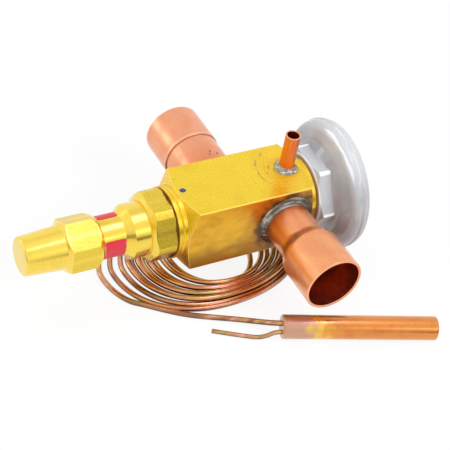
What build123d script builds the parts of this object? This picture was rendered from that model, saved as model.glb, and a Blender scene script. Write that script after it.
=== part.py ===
from build123d import *
import os
from math import cos, pi, radians, sin, sqrt, tan

# Thermostatic expansion valve: a square brass body with copper ends, a diaphragm element on its
# right, an adjusting spring on its left, and a capillary tube to a sensing bulb.
# Millimetres. The valve is drawn on its own axis: X runs from the seal cap to the element, and
# X = 0 is where the square bar begins. The inlet points to +Y, the outlet to -Y, the equaliser up.
# At the end every piece is moved so that Z = 0 is the table that the element's rim rests on.

# ---- Fits ----
RUNNING_GAP = 0.05        # radial, round a piece that slides or turns
THREAD_GAP = 0.1          # radial, stands for the thread flanks
STUB_GAP = 0.05           # radial, round a tube brazed into the body
CLOSING_GAP = 0.15        # along the axis, between pin and seat at the end of the stroke

# ---- Square bar body ----
BAR_ACROSS = 38.0
BAR_LENGTH = 65.3
BAR_EDGE = 0.45           # broken long edges
COLLAR_R = 18.9           # turned collar at each end
END_TURN = 3.8            # length of the cone from the bar's corners down to the collar
LEFT_COLLAR = 5.2
RIGHT_COLLAR = 2.5
COLLAR_GROOVE = 0.5       # width and depth of the turned line in the left collar
PORT_R = 9.0              # cross holes behind the two copper ends
STUB_DEPTH = 4.0          # how far a copper end goes into the body
CHAMBER_R = 12.0          # inlet chamber, also the carrier's slideway
OUTLET_CHAMBER_R = 11.4

# ---- Copper ends ----
INLET_X = 29.1
INLET_NECK_R = 15.2
INLET_STEP = 42.5         # distances from the valve's axis
INLET_MOUTH = 66.7
INLET_SOCKET_R = 15.9
STEP_RUN = 0.6            # length and rounding of the inlet's step
STEP_ROUND = 0.3
OUTLET_FROM_END = 12.0    # from the bar's right corner plane back to the outlet
OUTLET_NECK_R = 12.5
OUTLET_FLARE = 38.0
OUTLET_SOCKET_START = 44.5
OUTLET_MOUTH = 68.9
OUTLET_SOCKET_R = 15.85
SOCKET_BORE_R = 14.35     # takes 1 1/8 in copper tube
SOCKET_DEPTH = 22.0
COPPER_WALL = 1.5
LIP_SHARE = 0.3           # rounding of a mouth's edge, in wall thicknesses
STOP_ROUND = 1.0          # rounding of the outlet's tube stop
EQUALIZER_FROM_END = 5.0  # from the bar's right corner plane back to the equaliser
EQUALIZER_R = 3.97
EQUALIZER_BORE_R = 3.2    # takes 1/4 in copper tube
EQUALIZER_SOCKET = 8.0
EQUALIZER_STOP_R = 2.4
EQUALIZER_TOP = 41.0
EQUALIZER_STUB = 3.5
EQUALIZER_DRILL_R = 1.3   # drilling along the body, to under the diaphragm
EQUALIZER_DOWN_R = 2.0    # drilling from the socket down to it
EQUALIZER_SKIN = 0.5      # metal between the socket's floor and the long drilling
INLET_BRAZE = 1.6         # radial leg of each braze fillet on the body's face
OUTLET_BRAZE = 2.9
EQUALIZER_BRAZE = 2.3
BRAZE_RATIO = 1.15        # height of a braze fillet over its radial leg
BRAZE_HOLLOW = 0.3        # how near its hollow face comes to the corner, as a share

# ---- Thermostatic element ----
ELEMENT_GASKET = 0.8
ELEMENT_THREAD_R = 17.0
ELEMENT_THREAD = 8.0
ELEMENT_HEX = 41.3        # across flats
ELEMENT_HEX_LENGTH = 9.2
ELEMENT_HEX_CORNER = 1.9  # corners turned off at the hexagon's open end
ELEMENT_HEX_FACE = 0.2    # and this far in under its flats
ELEMENT_BASE = 9.7        # from the hexagon to the joint of the two cases
ELEMENT_CASE_R = 35.4     # under the weld
WELD_CROWN = 0.6          # height of the weld bead over the cases
ELEMENT_WALL = 2.2
ELEMENT_CLAMP = 2.4       # width of the ring where the cases hold the diaphragm
CASE_SHOULDER = 5.6       # radius of the rolled shoulder inside the rim
SHOULDER_EASE = 0.6       # the same radius is this much less outside
SHOULDER_LEAN = 0.3
COVE_R = 4.0              # radius of the cove behind the hexagon
COVE_START = 6.8          # from the hexagon's open end to the cove
COVE_DEPTH = 1.4          # under the hexagon's flats
BOWL_RUN = 3.8            # length of the bowl's steep part
BOWL_STEP = 9.9           # from the case's outside in to the end of the steep part
BOWL_SPACE_RUN = 3.4      # the same two inside
BOWL_SPACE_STEP = 12.4
DIAPHRAGM_T = 0.3
WELD_HALF = 1.5
COVER_DEPTH = 8.0         # from the joint to the cover's flat
COVER_FLAT_R = 14.0
COVER_FLAT_EASE = 1.0     # the flat is this much narrower inside
COVER_EDGE = 3.0          # length of the cover's straight edge
COVER_RIM = 5.4           # from the edge in to where the cover starts to rise
COVER_RIM_EASE = 0.5
COVER_RISE = 4.6          # from the joint to that place
COVER_EDGE_ROUND = 2.0
COVER_RIM_ROUND = 4.0
COVER_FLAT_ROUND = 6.0
BUFFER_MARGIN = 3.0       # between the buffer plate's edge and the clamped ring
BUFFER_DISC = 2.4
BUFFER_HUB_R = 15.0
BUFFER_HUB = 4.9
FERRULE_R = 4.0
FERRULE_FLANGE_R = 6.0
FERRULE_FLANGE = 1.4
FERRULE_LENGTH = 8.0      # outside the cover
FERRULE_FLANGE_ROUND = 0.4
FERRULE_END_ROUND = 1.0
GASKET_INSET = 0.6        # under the collar's edge

# ---- Seat, pin and push rods ----
SEAT_FROM_OUTLET = 15.1   # from the outlet's axis back to the seat's face
PARTITION = 6.0
SEAT_R = 6.5
SEAT_PORT_R = 4.0
OUTLET_CHAMBER = 19.7     # length of the outlet chamber
STROKE = 1.0
PIN_HEAD_R = 4.6
PIN_TIP_R = 2.3
PIN_CONE = 30.0           # degrees, half angle of the needle
PIN_HEAD = 5.0
PIN_STEM_R = 2.5
ROD_R = 1.5
ROD_CIRCLE_R = 9.5
CARRIER_X = 14.0
CARRIER = 5.0
CARRIER_BOSS = 2.5

# ---- Spring housing, left of the body ----
HOUSING_GASKET = 0.6
HOUSING_GASKET_INSET = 0.7
HOUSING_RIM_TURN = 0.5    # corner turned off at the hexagon's seat
HOUSING_THREAD_R = 14.9
HOUSING_THREAD = 18.0
HOUSING_HEX = 34.4        # across flats, with corners turned off
HOUSING_HEX_R = 18.75
HOUSING_HEX_LENGTH = 10.4
HOUSING_HEX_TURN = 3.0    # degrees
HOUSING_CHAMFER = 2.0     # left end of the hexagon, turned down to the hub
HOUSING_CHAMFER_R = 15.3
HUB_R = 14.3
HUB = 8.6
HUB_CONE = 3.9
NECK_R = 11.0
NECK = 11.8
CAP_THREAD_R = 9.0
CAP_THREAD = 9.7
HOUSING_WEB = 11.0        # wall that the adjusting stem screws through
WEB_X = -18.0
STUFFING_X = -41.0
STUFFING_R = 6.0
STUFFING = 6.0
NUT_THREAD_R = 7.0

# ---- Superheat spring and its adjustment ----
GUIDE_X = -14.0           # left face of the lower guide, at mid adjustment
GUIDE = 4.0
GUIDE_BOSS = 3.0
GUIDE_DIMPLE = 1.0
SPRING_WIRE_R = 1.2
SPRING_R = 9.2            # mean radius
SPRING_TURNS = 5
BOSS_R = 7.5              # bosses that centre the spring on guide and carrier
STEM_THREAD_R = 4.0
STEM_THREAD = 17.0
STEM_PIVOT_R = 2.2
STEM_PIVOT = 2.0          # length of the pivot outside the guide
STEM_CLEARANCE = 0.4      # radial, round the shank between thread and packing
STEM_SHANK_R = 3.0
STEM_SHANK = 27.0
STEM_SQUARE = 4.2         # across the flats of the key end
STEM_KEY = 6.0
PACKING = 5.0
WASHER = 1.0
NUT = 8.5
NUT_SLOT = 2.0

# ---- Seal cap and label ----
CAP_GASKET = 0.6
CAP_GASKET_INSET = 0.1
CAP_MOUTH_R = 12.0
CAP_MOUTH = 3.1           # turned length between the mouth and the hexagon's full corners
CAP_HEX = 25.4
CAP_HEX_TURN = 30.0       # degrees
CAP_HEX_LENGTH = 14.0
CAP_CHAMFER = 2.0
CAP_NECK_R = 11.4         # nose where it meets the hexagon
CAP_NOSE_R = 10.0
CAP_NOSE = 21.1
CAP_NOSE_ROUND = 1.3
CAP_BORE = 10.6           # threaded depth
CAP_CAVITY_R = 7.6
CAP_CAVITY = 22.5
CAP_CAVITY_ROUND = 3.0
LABEL_T = 0.2
LABEL_MARGIN = 0.3
LABEL_FROM = 150.0        # degrees round the neck, from +Y towards +Z
LABEL_SWEEP = 293.0

# ---- Capillary and bulb ----
CAPILLARY_R = 1.5
TAIL_R = 1.2
BULB_R = 6.35
BULB_LENGTH = 82.9
BULB_ROUND = 1.2
BULB_END = (11.8, -62.4)  # the bulb's capillary end, from the coil's middle and the valve's axis
BULB_TURN = -20.55        # degrees about Z
BULB_ENTRY = 2.5          # depth of the tubes in the bulb's end
LEAD_OFFSET = 2.3         # sideways from the bulb's axis, at the bulb's end
LEAD_STRAIGHT = 3.2       # straight run of each tube outside the bulb
TAIL_OFFSET = -2.0
TAIL_DROP = -1.8          # under the bulb's axis
TAIL_STRAIGHT = 3.0
FERRULE_ENTRY = 2.5
FERRULE_HOLE_X = 5.0      # from the cover's flat to the capillary
FERRULE_ANGLE = -60.0     # degrees, way of the capillary out of the ferrule, from +Y
COIL_HEIGHT = 7.0
COIL_ROUND = 2.5
COIL_FROM_RIM = 70.8      # from the rim's joint back to the coil's middle
COIL_Y = 13.5
COIL_SIZE = (117.0, 93.0)  # of the loose coil's outer shape
COIL_CORNER = 44.0
COIL_INNER = (23.5, 29.0)
COIL_INNER_SHIFT = 4.0    # the turns lie closer together on the right
BEND_SHARE = 0.45         # of the shorter run, taken up by each bend of a tube

# Routes of the tubes. Along x from the rim's joint for the first and from the coil's middle for the
# other two, y from the valve's axis, and height over the table.
FERRULE_RUN = 11.0        # straight out of the ferrule, from the valve's axis
LEAD_ROUTE = (
    (13.3, 12.4, 16.2),
    (10.9, 19.4, 8.4),
    (5.7, 26.4, 3.4),
    (-2.5, 31.8, 1.5),
    (-12.5, 35.4, 1.5),
    (-22.9, 38.4, 1.5),
)
BULB_LEAD_ROUTE = (
    (-46.3, -20.4, 1.5),
    (-37.9, -27.4, 1.5),
    (-28.5, -34.4, 1.5),
    (-16.9, -40.4, 1.5),
    (-5.5, -46.2, 1.8),
    (3.9, -53.2, 3.6),
)
TAIL_ROUTE = (
    (3.9, -62.6, 2.4),
    (-0.9, -60.9, 1.2),
    (-8.9, -56.2, 1.2),
    (-17.1, -51.2, 1.2),
    (-20.9, -48.8, 1.2),
)

# ---- Stations along the axis, worked out from the lengths above ----
HALF_BAR = BAR_ACROSS / 2
BAR_CORNER_R = BAR_ACROSS / sqrt(2)
X_TURN_LEFT = -END_TURN
X_BODY_LEFT = X_TURN_LEFT - LEFT_COLLAR
X_TURN_RIGHT = BAR_LENGTH + END_TURN
X_COLLAR_RIGHT = X_TURN_RIGHT + RIGHT_COLLAR
X_BODY_RIGHT = X_COLLAR_RIGHT + ELEMENT_THREAD
OUTLET_X = BAR_LENGTH - OUTLET_FROM_END
EQUALIZER_X = BAR_LENGTH - EQUALIZER_FROM_END
PARTITION_X = OUTLET_X - SEAT_FROM_OUTLET
X_PARTITION_END = PARTITION_X + PARTITION
X_OUTLET_END = X_PARTITION_END + OUTLET_CHAMBER
X_HEX = X_COLLAR_RIGHT + ELEMENT_GASKET
X_HEX_END = X_HEX + ELEMENT_HEX_LENGTH
X_RIM = X_HEX_END + ELEMENT_BASE
X_COVER_FLAT = X_RIM + DIAPHRAGM_T + COVER_DEPTH
X_FERRULE_END = X_COVER_FLAT + FERRULE_LENGTH
X_HUB_FACE = X_RIM - BUFFER_DISC - BUFFER_HUB
X_CARRIER_END = CARRIER_X + CARRIER
X_HOUSING = X_BODY_LEFT - HOUSING_GASKET
X_HOUSING_HEX = X_HOUSING - HOUSING_HEX_LENGTH
X_HUB = X_HOUSING_HEX - HOUSING_CHAMFER
X_HUB_END = X_HUB - HUB
X_NECK = X_HUB_END - HUB_CONE
X_NECK_END = X_NECK - NECK
X_HOUSING_END = X_NECK_END - CAP_THREAD
X_SPIGOT = X_HOUSING + HOUSING_THREAD
X_NUT = STUFFING_X - STUFFING
X_CAP = X_NECK_END - CAP_GASKET
X_CAP_HEX = X_CAP - CAP_MOUTH
X_CAP_HEX_END = X_CAP_HEX - CAP_HEX_LENGTH - CAP_CHAMFER
X_NOSE = X_CAP_HEX_END - CAP_NOSE
X_COIL = X_RIM - COIL_FROM_RIM
ELEMENT_RIM_R = ELEMENT_CASE_R + WELD_CROWN
BUFFER_DISC_R = ELEMENT_CASE_R - ELEMENT_CLAMP - BUFFER_MARGIN
TABLE = -ELEMENT_RIM_R

# The row's origin: under the middle of the valve, on the table. The cord pieces don't count.
ORIGIN = Vector((X_NOSE + X_FERRULE_END) / 2, (INLET_MOUTH - OUTLET_MOUTH) / 2, TABLE)


# ---- Ways of making ----
def turned(*outline):
    """Solid turned about the valve's axis from a closed outline of (x, radius) points."""
    return revolve(make_face(Polyline(*outline, close=True)), Axis.X)


def turned_round(outline, radii):
    """The same from an outline whose corners are rounded, one radius for each point."""
    return revolve(make_face(FilletPolyline(*outline, radius=radii, close=True)), Axis.X)


def ring(start, end, inner, outer):
    """Plain ring or tube on the valve's axis."""
    return turned((start, inner), (start, outer), (end, outer), (end, inner))


def plug(start, end, radius):
    """Round bar on the valve's axis."""
    return turned((start, 0), (start, radius), (end, radius), (end, 0))


def rod(start, end, radius):
    """Round bar from one point to another."""
    way = Vector(*end) - Vector(*start)
    return extrude(Plane(origin=start, z_dir=way) * Circle(radius), way.length)


def hexagon(across, start, end, turn=0.0):
    """Hexagonal bar along the valve's axis; turned 0, two of its corners point to +Y and -Y."""
    shape = Rot(Z=turn) * RegularPolygon(across / 2, 6, major_radius=False)
    return extrude(Plane.YZ.offset(start) * shape, end - start)


def on_branch(solid, x, turn_z=0.0, turn_y=0.0):
    """Stands a solid turned about X on a cross axis through the valve's axis at x."""
    return Pos(x, 0, 0) * Rot(0, turn_y, turn_z) * solid


INLET_WAY = 90.0
OUTLET_WAY = -90.0
UP = -90.0


# ---- Body and its copper ends ----
def rod_places():
    return [(0, ROD_CIRCLE_R), (0, -ROD_CIRCLE_R)]


def valve_body():
    """Square bar with turned ends, bored through, with three brazed connections."""
    section = chamfer(Rectangle(BAR_ACROSS, BAR_ACROSS).vertices(), BAR_EDGE)
    bar = extrude(Plane.YZ.offset(X_BODY_LEFT) * section, X_BODY_RIGHT - X_BODY_LEFT)
    groove = (X_TURN_LEFT + X_BODY_LEFT) / 2
    turning = turned(
        (X_BODY_LEFT, 0),
        (X_BODY_LEFT, COLLAR_R),
        (groove - COLLAR_GROOVE, COLLAR_R),
        (groove, COLLAR_R - COLLAR_GROOVE),
        (groove + COLLAR_GROOVE, COLLAR_R),
        (X_TURN_LEFT, COLLAR_R),
        (0, BAR_CORNER_R),
        (BAR_LENGTH, BAR_CORNER_R),
        (X_TURN_RIGHT, COLLAR_R),
        (X_COLLAR_RIGHT, COLLAR_R),
        (X_COLLAR_RIGHT, ELEMENT_THREAD_R),
        (X_BODY_RIGHT, ELEMENT_THREAD_R),
        (X_BODY_RIGHT, 0),
    )
    body = bar & turning
    housing_bore = HOUSING_THREAD_R + THREAD_GAP
    body -= turned(
        (X_BODY_LEFT, 0),
        (X_BODY_LEFT, housing_bore),
        (X_SPIGOT, housing_bore),
        (X_SPIGOT, CHAMBER_R),
        (PARTITION_X, CHAMBER_R),
        (PARTITION_X, SEAT_R),
        (X_PARTITION_END, SEAT_R),
        (X_PARTITION_END, OUTLET_CHAMBER_R),
        (X_OUTLET_END, OUTLET_CHAMBER_R),
        (X_OUTLET_END, 0),
    )
    for x, way, neck_r in ((INLET_X, 1, INLET_NECK_R), (OUTLET_X, -1, OUTLET_NECK_R)):
        face = way * HALF_BAR
        body -= rod((x, 0, 0), (x, face, 0), PORT_R)
        body -= rod((x, face - way * STUB_DEPTH, 0), (x, face, 0), neck_r + STUB_GAP)
    for y, z in rod_places():
        body -= rod((PARTITION_X, y, z), (X_BODY_RIGHT, y, z), ROD_R + RUNNING_GAP)
    # The equaliser's socket meets a drilling that opens under the diaphragm.
    drill_z = HALF_BAR - EQUALIZER_STUB - EQUALIZER_SKIN - EQUALIZER_DRILL_R
    socket_floor = (EQUALIZER_X, 0, HALF_BAR - EQUALIZER_STUB)
    body -= rod(socket_floor, (EQUALIZER_X, 0, HALF_BAR), EQUALIZER_R + STUB_GAP)
    pocket = drill_z - EQUALIZER_DRILL_R - THREAD_GAP
    body -= rod((EQUALIZER_X, 0, pocket), socket_floor, EQUALIZER_DOWN_R)
    body -= rod((EQUALIZER_X, 0, drill_z), (X_BODY_RIGHT, 0, drill_z), EQUALIZER_DRILL_R)
    return body


def inlet_fitting():
    """Straight tube end with a crisp step up to its solder socket."""
    root = HALF_BAR - STUB_DEPTH
    stop = INLET_MOUTH - SOCKET_DEPTH
    outline = [
        (root, INLET_NECK_R - COPPER_WALL),
        (root, INLET_NECK_R),
        (INLET_STEP, INLET_NECK_R),
        (INLET_STEP + STEP_RUN, INLET_SOCKET_R),
        (INLET_MOUTH, INLET_SOCKET_R),
        (INLET_MOUTH, SOCKET_BORE_R),
        (stop, SOCKET_BORE_R),
        (stop, INLET_NECK_R - COPPER_WALL),
    ]
    lip = (INLET_SOCKET_R - SOCKET_BORE_R) * LIP_SHARE
    radii = [0, 0, STEP_ROUND, STEP_ROUND, lip, lip, 0, 0]
    return on_branch(turned_round(outline, radii), INLET_X, turn_z=INLET_WAY)


def outlet_fitting():
    """Tube end that flares from a narrower neck to the same solder socket."""
    root = HALF_BAR - STUB_DEPTH
    stop = OUTLET_MOUTH - SOCKET_DEPTH
    neck_bore_r = OUTLET_NECK_R - COPPER_WALL
    flare = OUTLET_SOCKET_START - OUTLET_FLARE
    outline = [
        (root, neck_bore_r),
        (root, OUTLET_NECK_R),
        (OUTLET_FLARE, OUTLET_NECK_R),
        (OUTLET_SOCKET_START, OUTLET_SOCKET_R),
        (OUTLET_MOUTH, OUTLET_SOCKET_R),
        (OUTLET_MOUTH, SOCKET_BORE_R),
        (stop, SOCKET_BORE_R),
        (stop - flare, neck_bore_r),
    ]
    lip = (OUTLET_SOCKET_R - SOCKET_BORE_R) * LIP_SHARE
    radii = [0, 0, flare, flare, lip, lip, STOP_ROUND, flare]
    return on_branch(turned_round(outline, radii), OUTLET_X, turn_z=OUTLET_WAY)


def equalizer_tube():
    """Short copper tube with a stop inside, brazed upright into the body."""
    root = HALF_BAR - EQUALIZER_STUB
    stop = EQUALIZER_TOP - EQUALIZER_SOCKET
    outline = [
        (root, EQUALIZER_STOP_R),
        (root, EQUALIZER_R),
        (EQUALIZER_TOP, EQUALIZER_R),
        (EQUALIZER_TOP, EQUALIZER_BORE_R),
        (stop, EQUALIZER_BORE_R),
        (stop, EQUALIZER_STOP_R),
    ]
    lip = (EQUALIZER_R - EQUALIZER_BORE_R) * LIP_SHARE
    tube = turned_round(outline, [0, 0, lip, lip, 0, 0])
    return on_branch(tube, EQUALIZER_X, turn_y=UP)


def braze_fillet(tube_r, leg):
    """Ring of braze alloy with a hollow face, between a tube and the bar's flat side."""
    rise = leg * BRAZE_RATIO
    start = (HALF_BAR, tube_r)
    foot = (HALF_BAR, tube_r + leg)
    top = (HALF_BAR + rise, tube_r)
    middle = (HALF_BAR + rise * BRAZE_HOLLOW, tube_r + leg * BRAZE_HOLLOW)
    edges = [Line(start, foot), ThreePointArc(foot, middle, top), Line(top, start)]
    return revolve(make_face(Curve() + edges), Axis.X)


def inlet_braze():
    return on_branch(braze_fillet(INLET_NECK_R, INLET_BRAZE), INLET_X, turn_z=INLET_WAY)


def outlet_braze():
    return on_branch(braze_fillet(OUTLET_NECK_R, OUTLET_BRAZE), OUTLET_X, turn_z=OUTLET_WAY)


def equalizer_braze():
    return on_branch(braze_fillet(EQUALIZER_R, EQUALIZER_BRAZE), EQUALIZER_X, turn_y=UP)


# ---- Thermostatic element ----
def element_base():
    """Lower case: hexagon with a female thread, opening through a cove into the rolled rim."""
    inside = ELEMENT_CASE_R - ELEMENT_CLAMP
    flare_x = X_HEX + COVE_START
    bowl_x = X_RIM - CASE_SHOULDER
    thread_r = ELEMENT_THREAD_R + THREAD_GAP
    bowl = [
        (flare_x, 0),
        (flare_x, ELEMENT_HEX / 2 - COVE_DEPTH),
        (flare_x + BOWL_RUN, ELEMENT_CASE_R - BOWL_STEP),
        (bowl_x - SHOULDER_LEAN, ELEMENT_CASE_R),
        (X_RIM, ELEMENT_CASE_R),
        (X_RIM, 0),
    ]
    flare = turned_round(bowl, [0, 0, COVE_R, CASE_SHOULDER - SHOULDER_EASE, 0, 0])
    hex_corner_r = ELEMENT_HEX / sqrt(3)
    chamfering = turned(
        (X_HEX, 0),
        (X_HEX, ELEMENT_HEX / 2 - ELEMENT_HEX_FACE),
        (X_HEX + ELEMENT_HEX_CORNER, hex_corner_r),
        (X_HEX_END, hex_corner_r),
        (X_HEX_END, 0),
    )
    nut = hexagon(ELEMENT_HEX, X_HEX, X_HEX_END) & chamfering
    thread_end = X_BODY_RIGHT + ELEMENT_GASKET
    hollow = [
        (X_HEX, 0),
        (X_HEX, thread_r),
        (thread_end, thread_r),
        (thread_end + BOWL_SPACE_RUN, ELEMENT_CASE_R - BOWL_SPACE_STEP),
        (bowl_x + ELEMENT_WALL, inside),
        (X_RIM, inside),
        (X_RIM, 0),
    ]
    bowl_space = turned_round(hollow, [0, 0, 0, COVE_R, CASE_SHOULDER - ELEMENT_WALL, 0, 0])
    return flare + nut - bowl_space


def element_cover():
    """Upper case: pressed dish with a flat middle, pierced for the ferrule."""
    joint = X_RIM + DIAPHRAGM_T
    inside = ELEMENT_CASE_R - ELEMENT_CLAMP
    slope_x = joint + COVER_RISE
    slope_r = ELEMENT_CASE_R - COVER_RIM
    flat_inside = X_COVER_FLAT - ELEMENT_WALL
    outline = [
        (joint, inside),
        (joint, ELEMENT_CASE_R),
        (joint + COVER_EDGE, ELEMENT_CASE_R),
        (slope_x, slope_r),
        (X_COVER_FLAT, COVER_FLAT_R),
        (X_COVER_FLAT, FERRULE_R),
        (flat_inside, FERRULE_R),
        (flat_inside, COVER_FLAT_R - COVER_FLAT_EASE),
        (slope_x - ELEMENT_WALL, slope_r - COVER_RIM_EASE),
    ]
    outside_radii = [COVER_EDGE_ROUND, COVER_RIM_ROUND, COVER_FLAT_ROUND]
    inside_radii = [COVER_RIM_ROUND, COVER_EDGE_ROUND]
    return turned_round(outline, [0, 0, *outside_radii, 0, 0, *inside_radii])


def rim_weld():
    """Weld bead that joins the two cases round the rim; the valve rests on it."""
    middle_x = X_RIM + DIAPHRAGM_T / 2
    start = (middle_x - WELD_HALF, ELEMENT_CASE_R)
    end = (middle_x + WELD_HALF, ELEMENT_CASE_R)
    crown = (middle_x, ELEMENT_RIM_R)
    edges = [ThreePointArc(start, crown, end), Line(end, start)]
    return revolve(make_face(Curve() + edges), Axis.X)


def diaphragm():
    return plug(X_RIM, X_RIM + DIAPHRAGM_T, ELEMENT_CASE_R)


def buffer_plate():
    """Stepped plate between the diaphragm and the push rods."""
    disc_x = X_RIM - BUFFER_DISC
    return turned(
        (X_HUB_FACE, 0),
        (X_HUB_FACE, BUFFER_HUB_R),
        (disc_x, BUFFER_HUB_R),
        (disc_x, BUFFER_DISC_R),
        (X_RIM, BUFFER_DISC_R),
        (X_RIM, 0),
    )


def element_gasket():
    return ring(X_COLLAR_RIGHT, X_HEX, ELEMENT_THREAD_R, COLLAR_R - GASKET_INSET)


def capillary_ferrule():
    """Turned ferrule brazed in the cover, drilled across for the capillary."""
    flange_end = X_COVER_FLAT + FERRULE_FLANGE
    outline = [
        (X_COVER_FLAT - ELEMENT_WALL, 0),
        (X_COVER_FLAT - ELEMENT_WALL, FERRULE_R),
        (X_COVER_FLAT, FERRULE_R),
        (X_COVER_FLAT, FERRULE_FLANGE_R),
        (flange_end, FERRULE_FLANGE_R),
        (flange_end, FERRULE_R),
        (X_FERRULE_END, FERRULE_R),
        (X_FERRULE_END, 0),
    ]
    edge = FERRULE_FLANGE_ROUND
    ferrule = turned_round(outline, [0, 0, 0, edge, edge, 0, FERRULE_END_ROUND, 0])
    return ferrule - rod(capillary_start(), ferrule_point(FERRULE_R * 2), CAPILLARY_R)


def ferrule_point(distance):
    """Point on the capillary's line out of the ferrule, at a distance from the valve's axis."""
    angle = radians(FERRULE_ANGLE)
    return (X_COVER_FLAT + FERRULE_HOLE_X, distance * cos(angle), distance * sin(angle))


def capillary_start():
    return ferrule_point(FERRULE_R - FERRULE_ENTRY)


# ---- Seat, pin, carrier and push rods ----
def valve_seat():
    return ring(PARTITION_X, X_PARTITION_END, SEAT_PORT_R, SEAT_R)


def cone_start():
    """Where the needle's cone begins, so that the stroke brings it to the port's edge."""
    run_to_port = (PIN_HEAD_R - SEAT_PORT_R) / tan(radians(PIN_CONE))
    return PARTITION_X - STROKE - CLOSING_GAP - run_to_port


def valve_pin():
    """Needle: stem in the carrier, head, and cone that enters the port."""
    cone_x = cone_start()
    tip_x = cone_x + (PIN_HEAD_R - PIN_TIP_R) / tan(radians(PIN_CONE))
    return turned(
        (CARRIER_X, 0),
        (CARRIER_X, PIN_STEM_R),
        (cone_x - PIN_HEAD, PIN_STEM_R),
        (cone_x - PIN_HEAD, PIN_HEAD_R),
        (cone_x, PIN_HEAD_R),
        (tip_x, PIN_TIP_R),
        (tip_x, 0),
    )


def pin_carrier():
    """Disc that slides in the chamber, with a boss for the spring and a hole for the pin."""
    rim_r = CHAMBER_R - RUNNING_GAP
    return turned(
        (CARRIER_X - CARRIER_BOSS, 0),
        (CARRIER_X - CARRIER_BOSS, BOSS_R),
        (CARRIER_X, BOSS_R),
        (CARRIER_X, rim_r),
        (X_CARRIER_END, rim_r),
        (X_CARRIER_END, PIN_STEM_R),
        (CARRIER_X, PIN_STEM_R),
        (CARRIER_X, 0),
    )


def push_rods():
    places = rod_places()
    return Compound([rod((X_CARRIER_END, y, z), (X_HUB_FACE, y, z), ROD_R) for y, z in places])


# ---- Spring, guide, stem and packing ----
def superheat_spring():
    """Round-wire compression spring between the lower guide and the pin carrier."""
    length = CARRIER_X - GUIDE_X - GUIDE - 2 * SPRING_WIRE_R
    path = Helix(length / SPRING_TURNS, length, SPRING_R)
    section = Plane(origin=path @ 0, z_dir=path % 0) * Circle(SPRING_WIRE_R)
    coil = sweep(section, path=path, is_frenet=True)
    return Pos(GUIDE_X + GUIDE + SPRING_WIRE_R, 0, 0) * Rot(Y=90) * coil


def lower_spring_guide():
    """Disc pushed by the stem's point; its boss centres the spring."""
    face = GUIDE_X + GUIDE
    return turned(
        (GUIDE_X + GUIDE_DIMPLE, 0),
        (GUIDE_X + GUIDE_DIMPLE, STEM_PIVOT_R + RUNNING_GAP),
        (GUIDE_X, STEM_PIVOT_R + RUNNING_GAP),
        (GUIDE_X, CHAMBER_R - RUNNING_GAP),
        (face, CHAMBER_R - RUNNING_GAP),
        (face, BOSS_R),
        (face + GUIDE_BOSS, BOSS_R),
        (face + GUIDE_BOSS, 0),
    )


def adjusting_stem():
    """Screw with a pivot point inside and a square key end under the seal cap."""
    pivot_x = GUIDE_X + GUIDE_DIMPLE
    thread_x = GUIDE_X - STEM_PIVOT
    shank_x = thread_x - STEM_THREAD
    key_x = shank_x - STEM_SHANK
    thread_r = STEM_THREAD_R - RUNNING_GAP
    stem = turned(
        (pivot_x, 0),
        (pivot_x, STEM_PIVOT_R),
        (thread_x, STEM_PIVOT_R),
        (thread_x, thread_r),
        (shank_x, thread_r),
        (shank_x, STEM_SHANK_R),
        (key_x, STEM_SHANK_R),
        (key_x, 0),
    )
    key = extrude(Plane.YZ.offset(key_x - STEM_KEY) * Rectangle(STEM_SQUARE, STEM_SQUARE), STEM_KEY)
    return stem + key


def packing_x():
    return STUFFING_X - PACKING


def stem_packing():
    return ring(packing_x(), STUFFING_X, STEM_SHANK_R + RUNNING_GAP, STUFFING_R)


def packing_washer():
    return ring(X_NUT, packing_x(), STEM_SHANK_R + RUNNING_GAP, STUFFING_R - THREAD_GAP)


def packing_nut():
    """Slotted gland nut that presses the packing onto the stem."""
    end = X_NUT - NUT
    nut = ring(end, X_NUT, STEM_SHANK_R + RUNNING_GAP, NUT_THREAD_R - THREAD_GAP)
    return nut - Pos(end + NUT_SLOT / 2, 0, 0) * Box(NUT_SLOT, 2 * NUT_THREAD_R, NUT_SLOT)


def spring_housing():
    """Screwed housing: thread, hexagon, hub, tapered shoulder, neck and cap thread in one piece."""
    shape = turned(
        (X_HOUSING_END, 0),
        (X_HOUSING_END, CAP_THREAD_R),
        (X_NECK_END, CAP_THREAD_R),
        (X_NECK_END, NECK_R),
        (X_NECK, NECK_R),
        (X_HUB_END, HUB_R),
        (X_HUB, HUB_R),
        (X_HUB, HOUSING_CHAMFER_R),
        (X_HOUSING_HEX, HOUSING_CHAMFER_R),
        (X_HOUSING, HOUSING_CHAMFER_R),
        (X_HOUSING, HOUSING_THREAD_R),
        (X_SPIGOT, HOUSING_THREAD_R),
        (X_SPIGOT, 0),
    )
    chamfering = turned(
        (X_HUB, 0),
        (X_HUB, HOUSING_CHAMFER_R),
        (X_HOUSING_HEX, HOUSING_HEX_R),
        (X_HOUSING - HOUSING_RIM_TURN, HOUSING_HEX_R),
        (X_HOUSING, HOUSING_HEX_R - HOUSING_RIM_TURN),
        (X_HOUSING, 0),
    )
    shape += hexagon(HOUSING_HEX, X_HUB, X_HOUSING, HOUSING_HEX_TURN) & chamfering
    web_end = WEB_X - HOUSING_WEB
    return shape - turned(
        (X_HOUSING_END, 0),
        (X_HOUSING_END, NUT_THREAD_R),
        (X_NUT, NUT_THREAD_R),
        (X_NUT, STUFFING_R),
        (STUFFING_X, STUFFING_R),
        (STUFFING_X, STEM_THREAD_R + STEM_CLEARANCE),
        (web_end, STEM_THREAD_R + STEM_CLEARANCE),
        (web_end, STEM_THREAD_R),
        (WEB_X, STEM_THREAD_R),
        (WEB_X, CHAMBER_R),
        (X_SPIGOT, CHAMBER_R),
        (X_SPIGOT, 0),
    )


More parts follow.
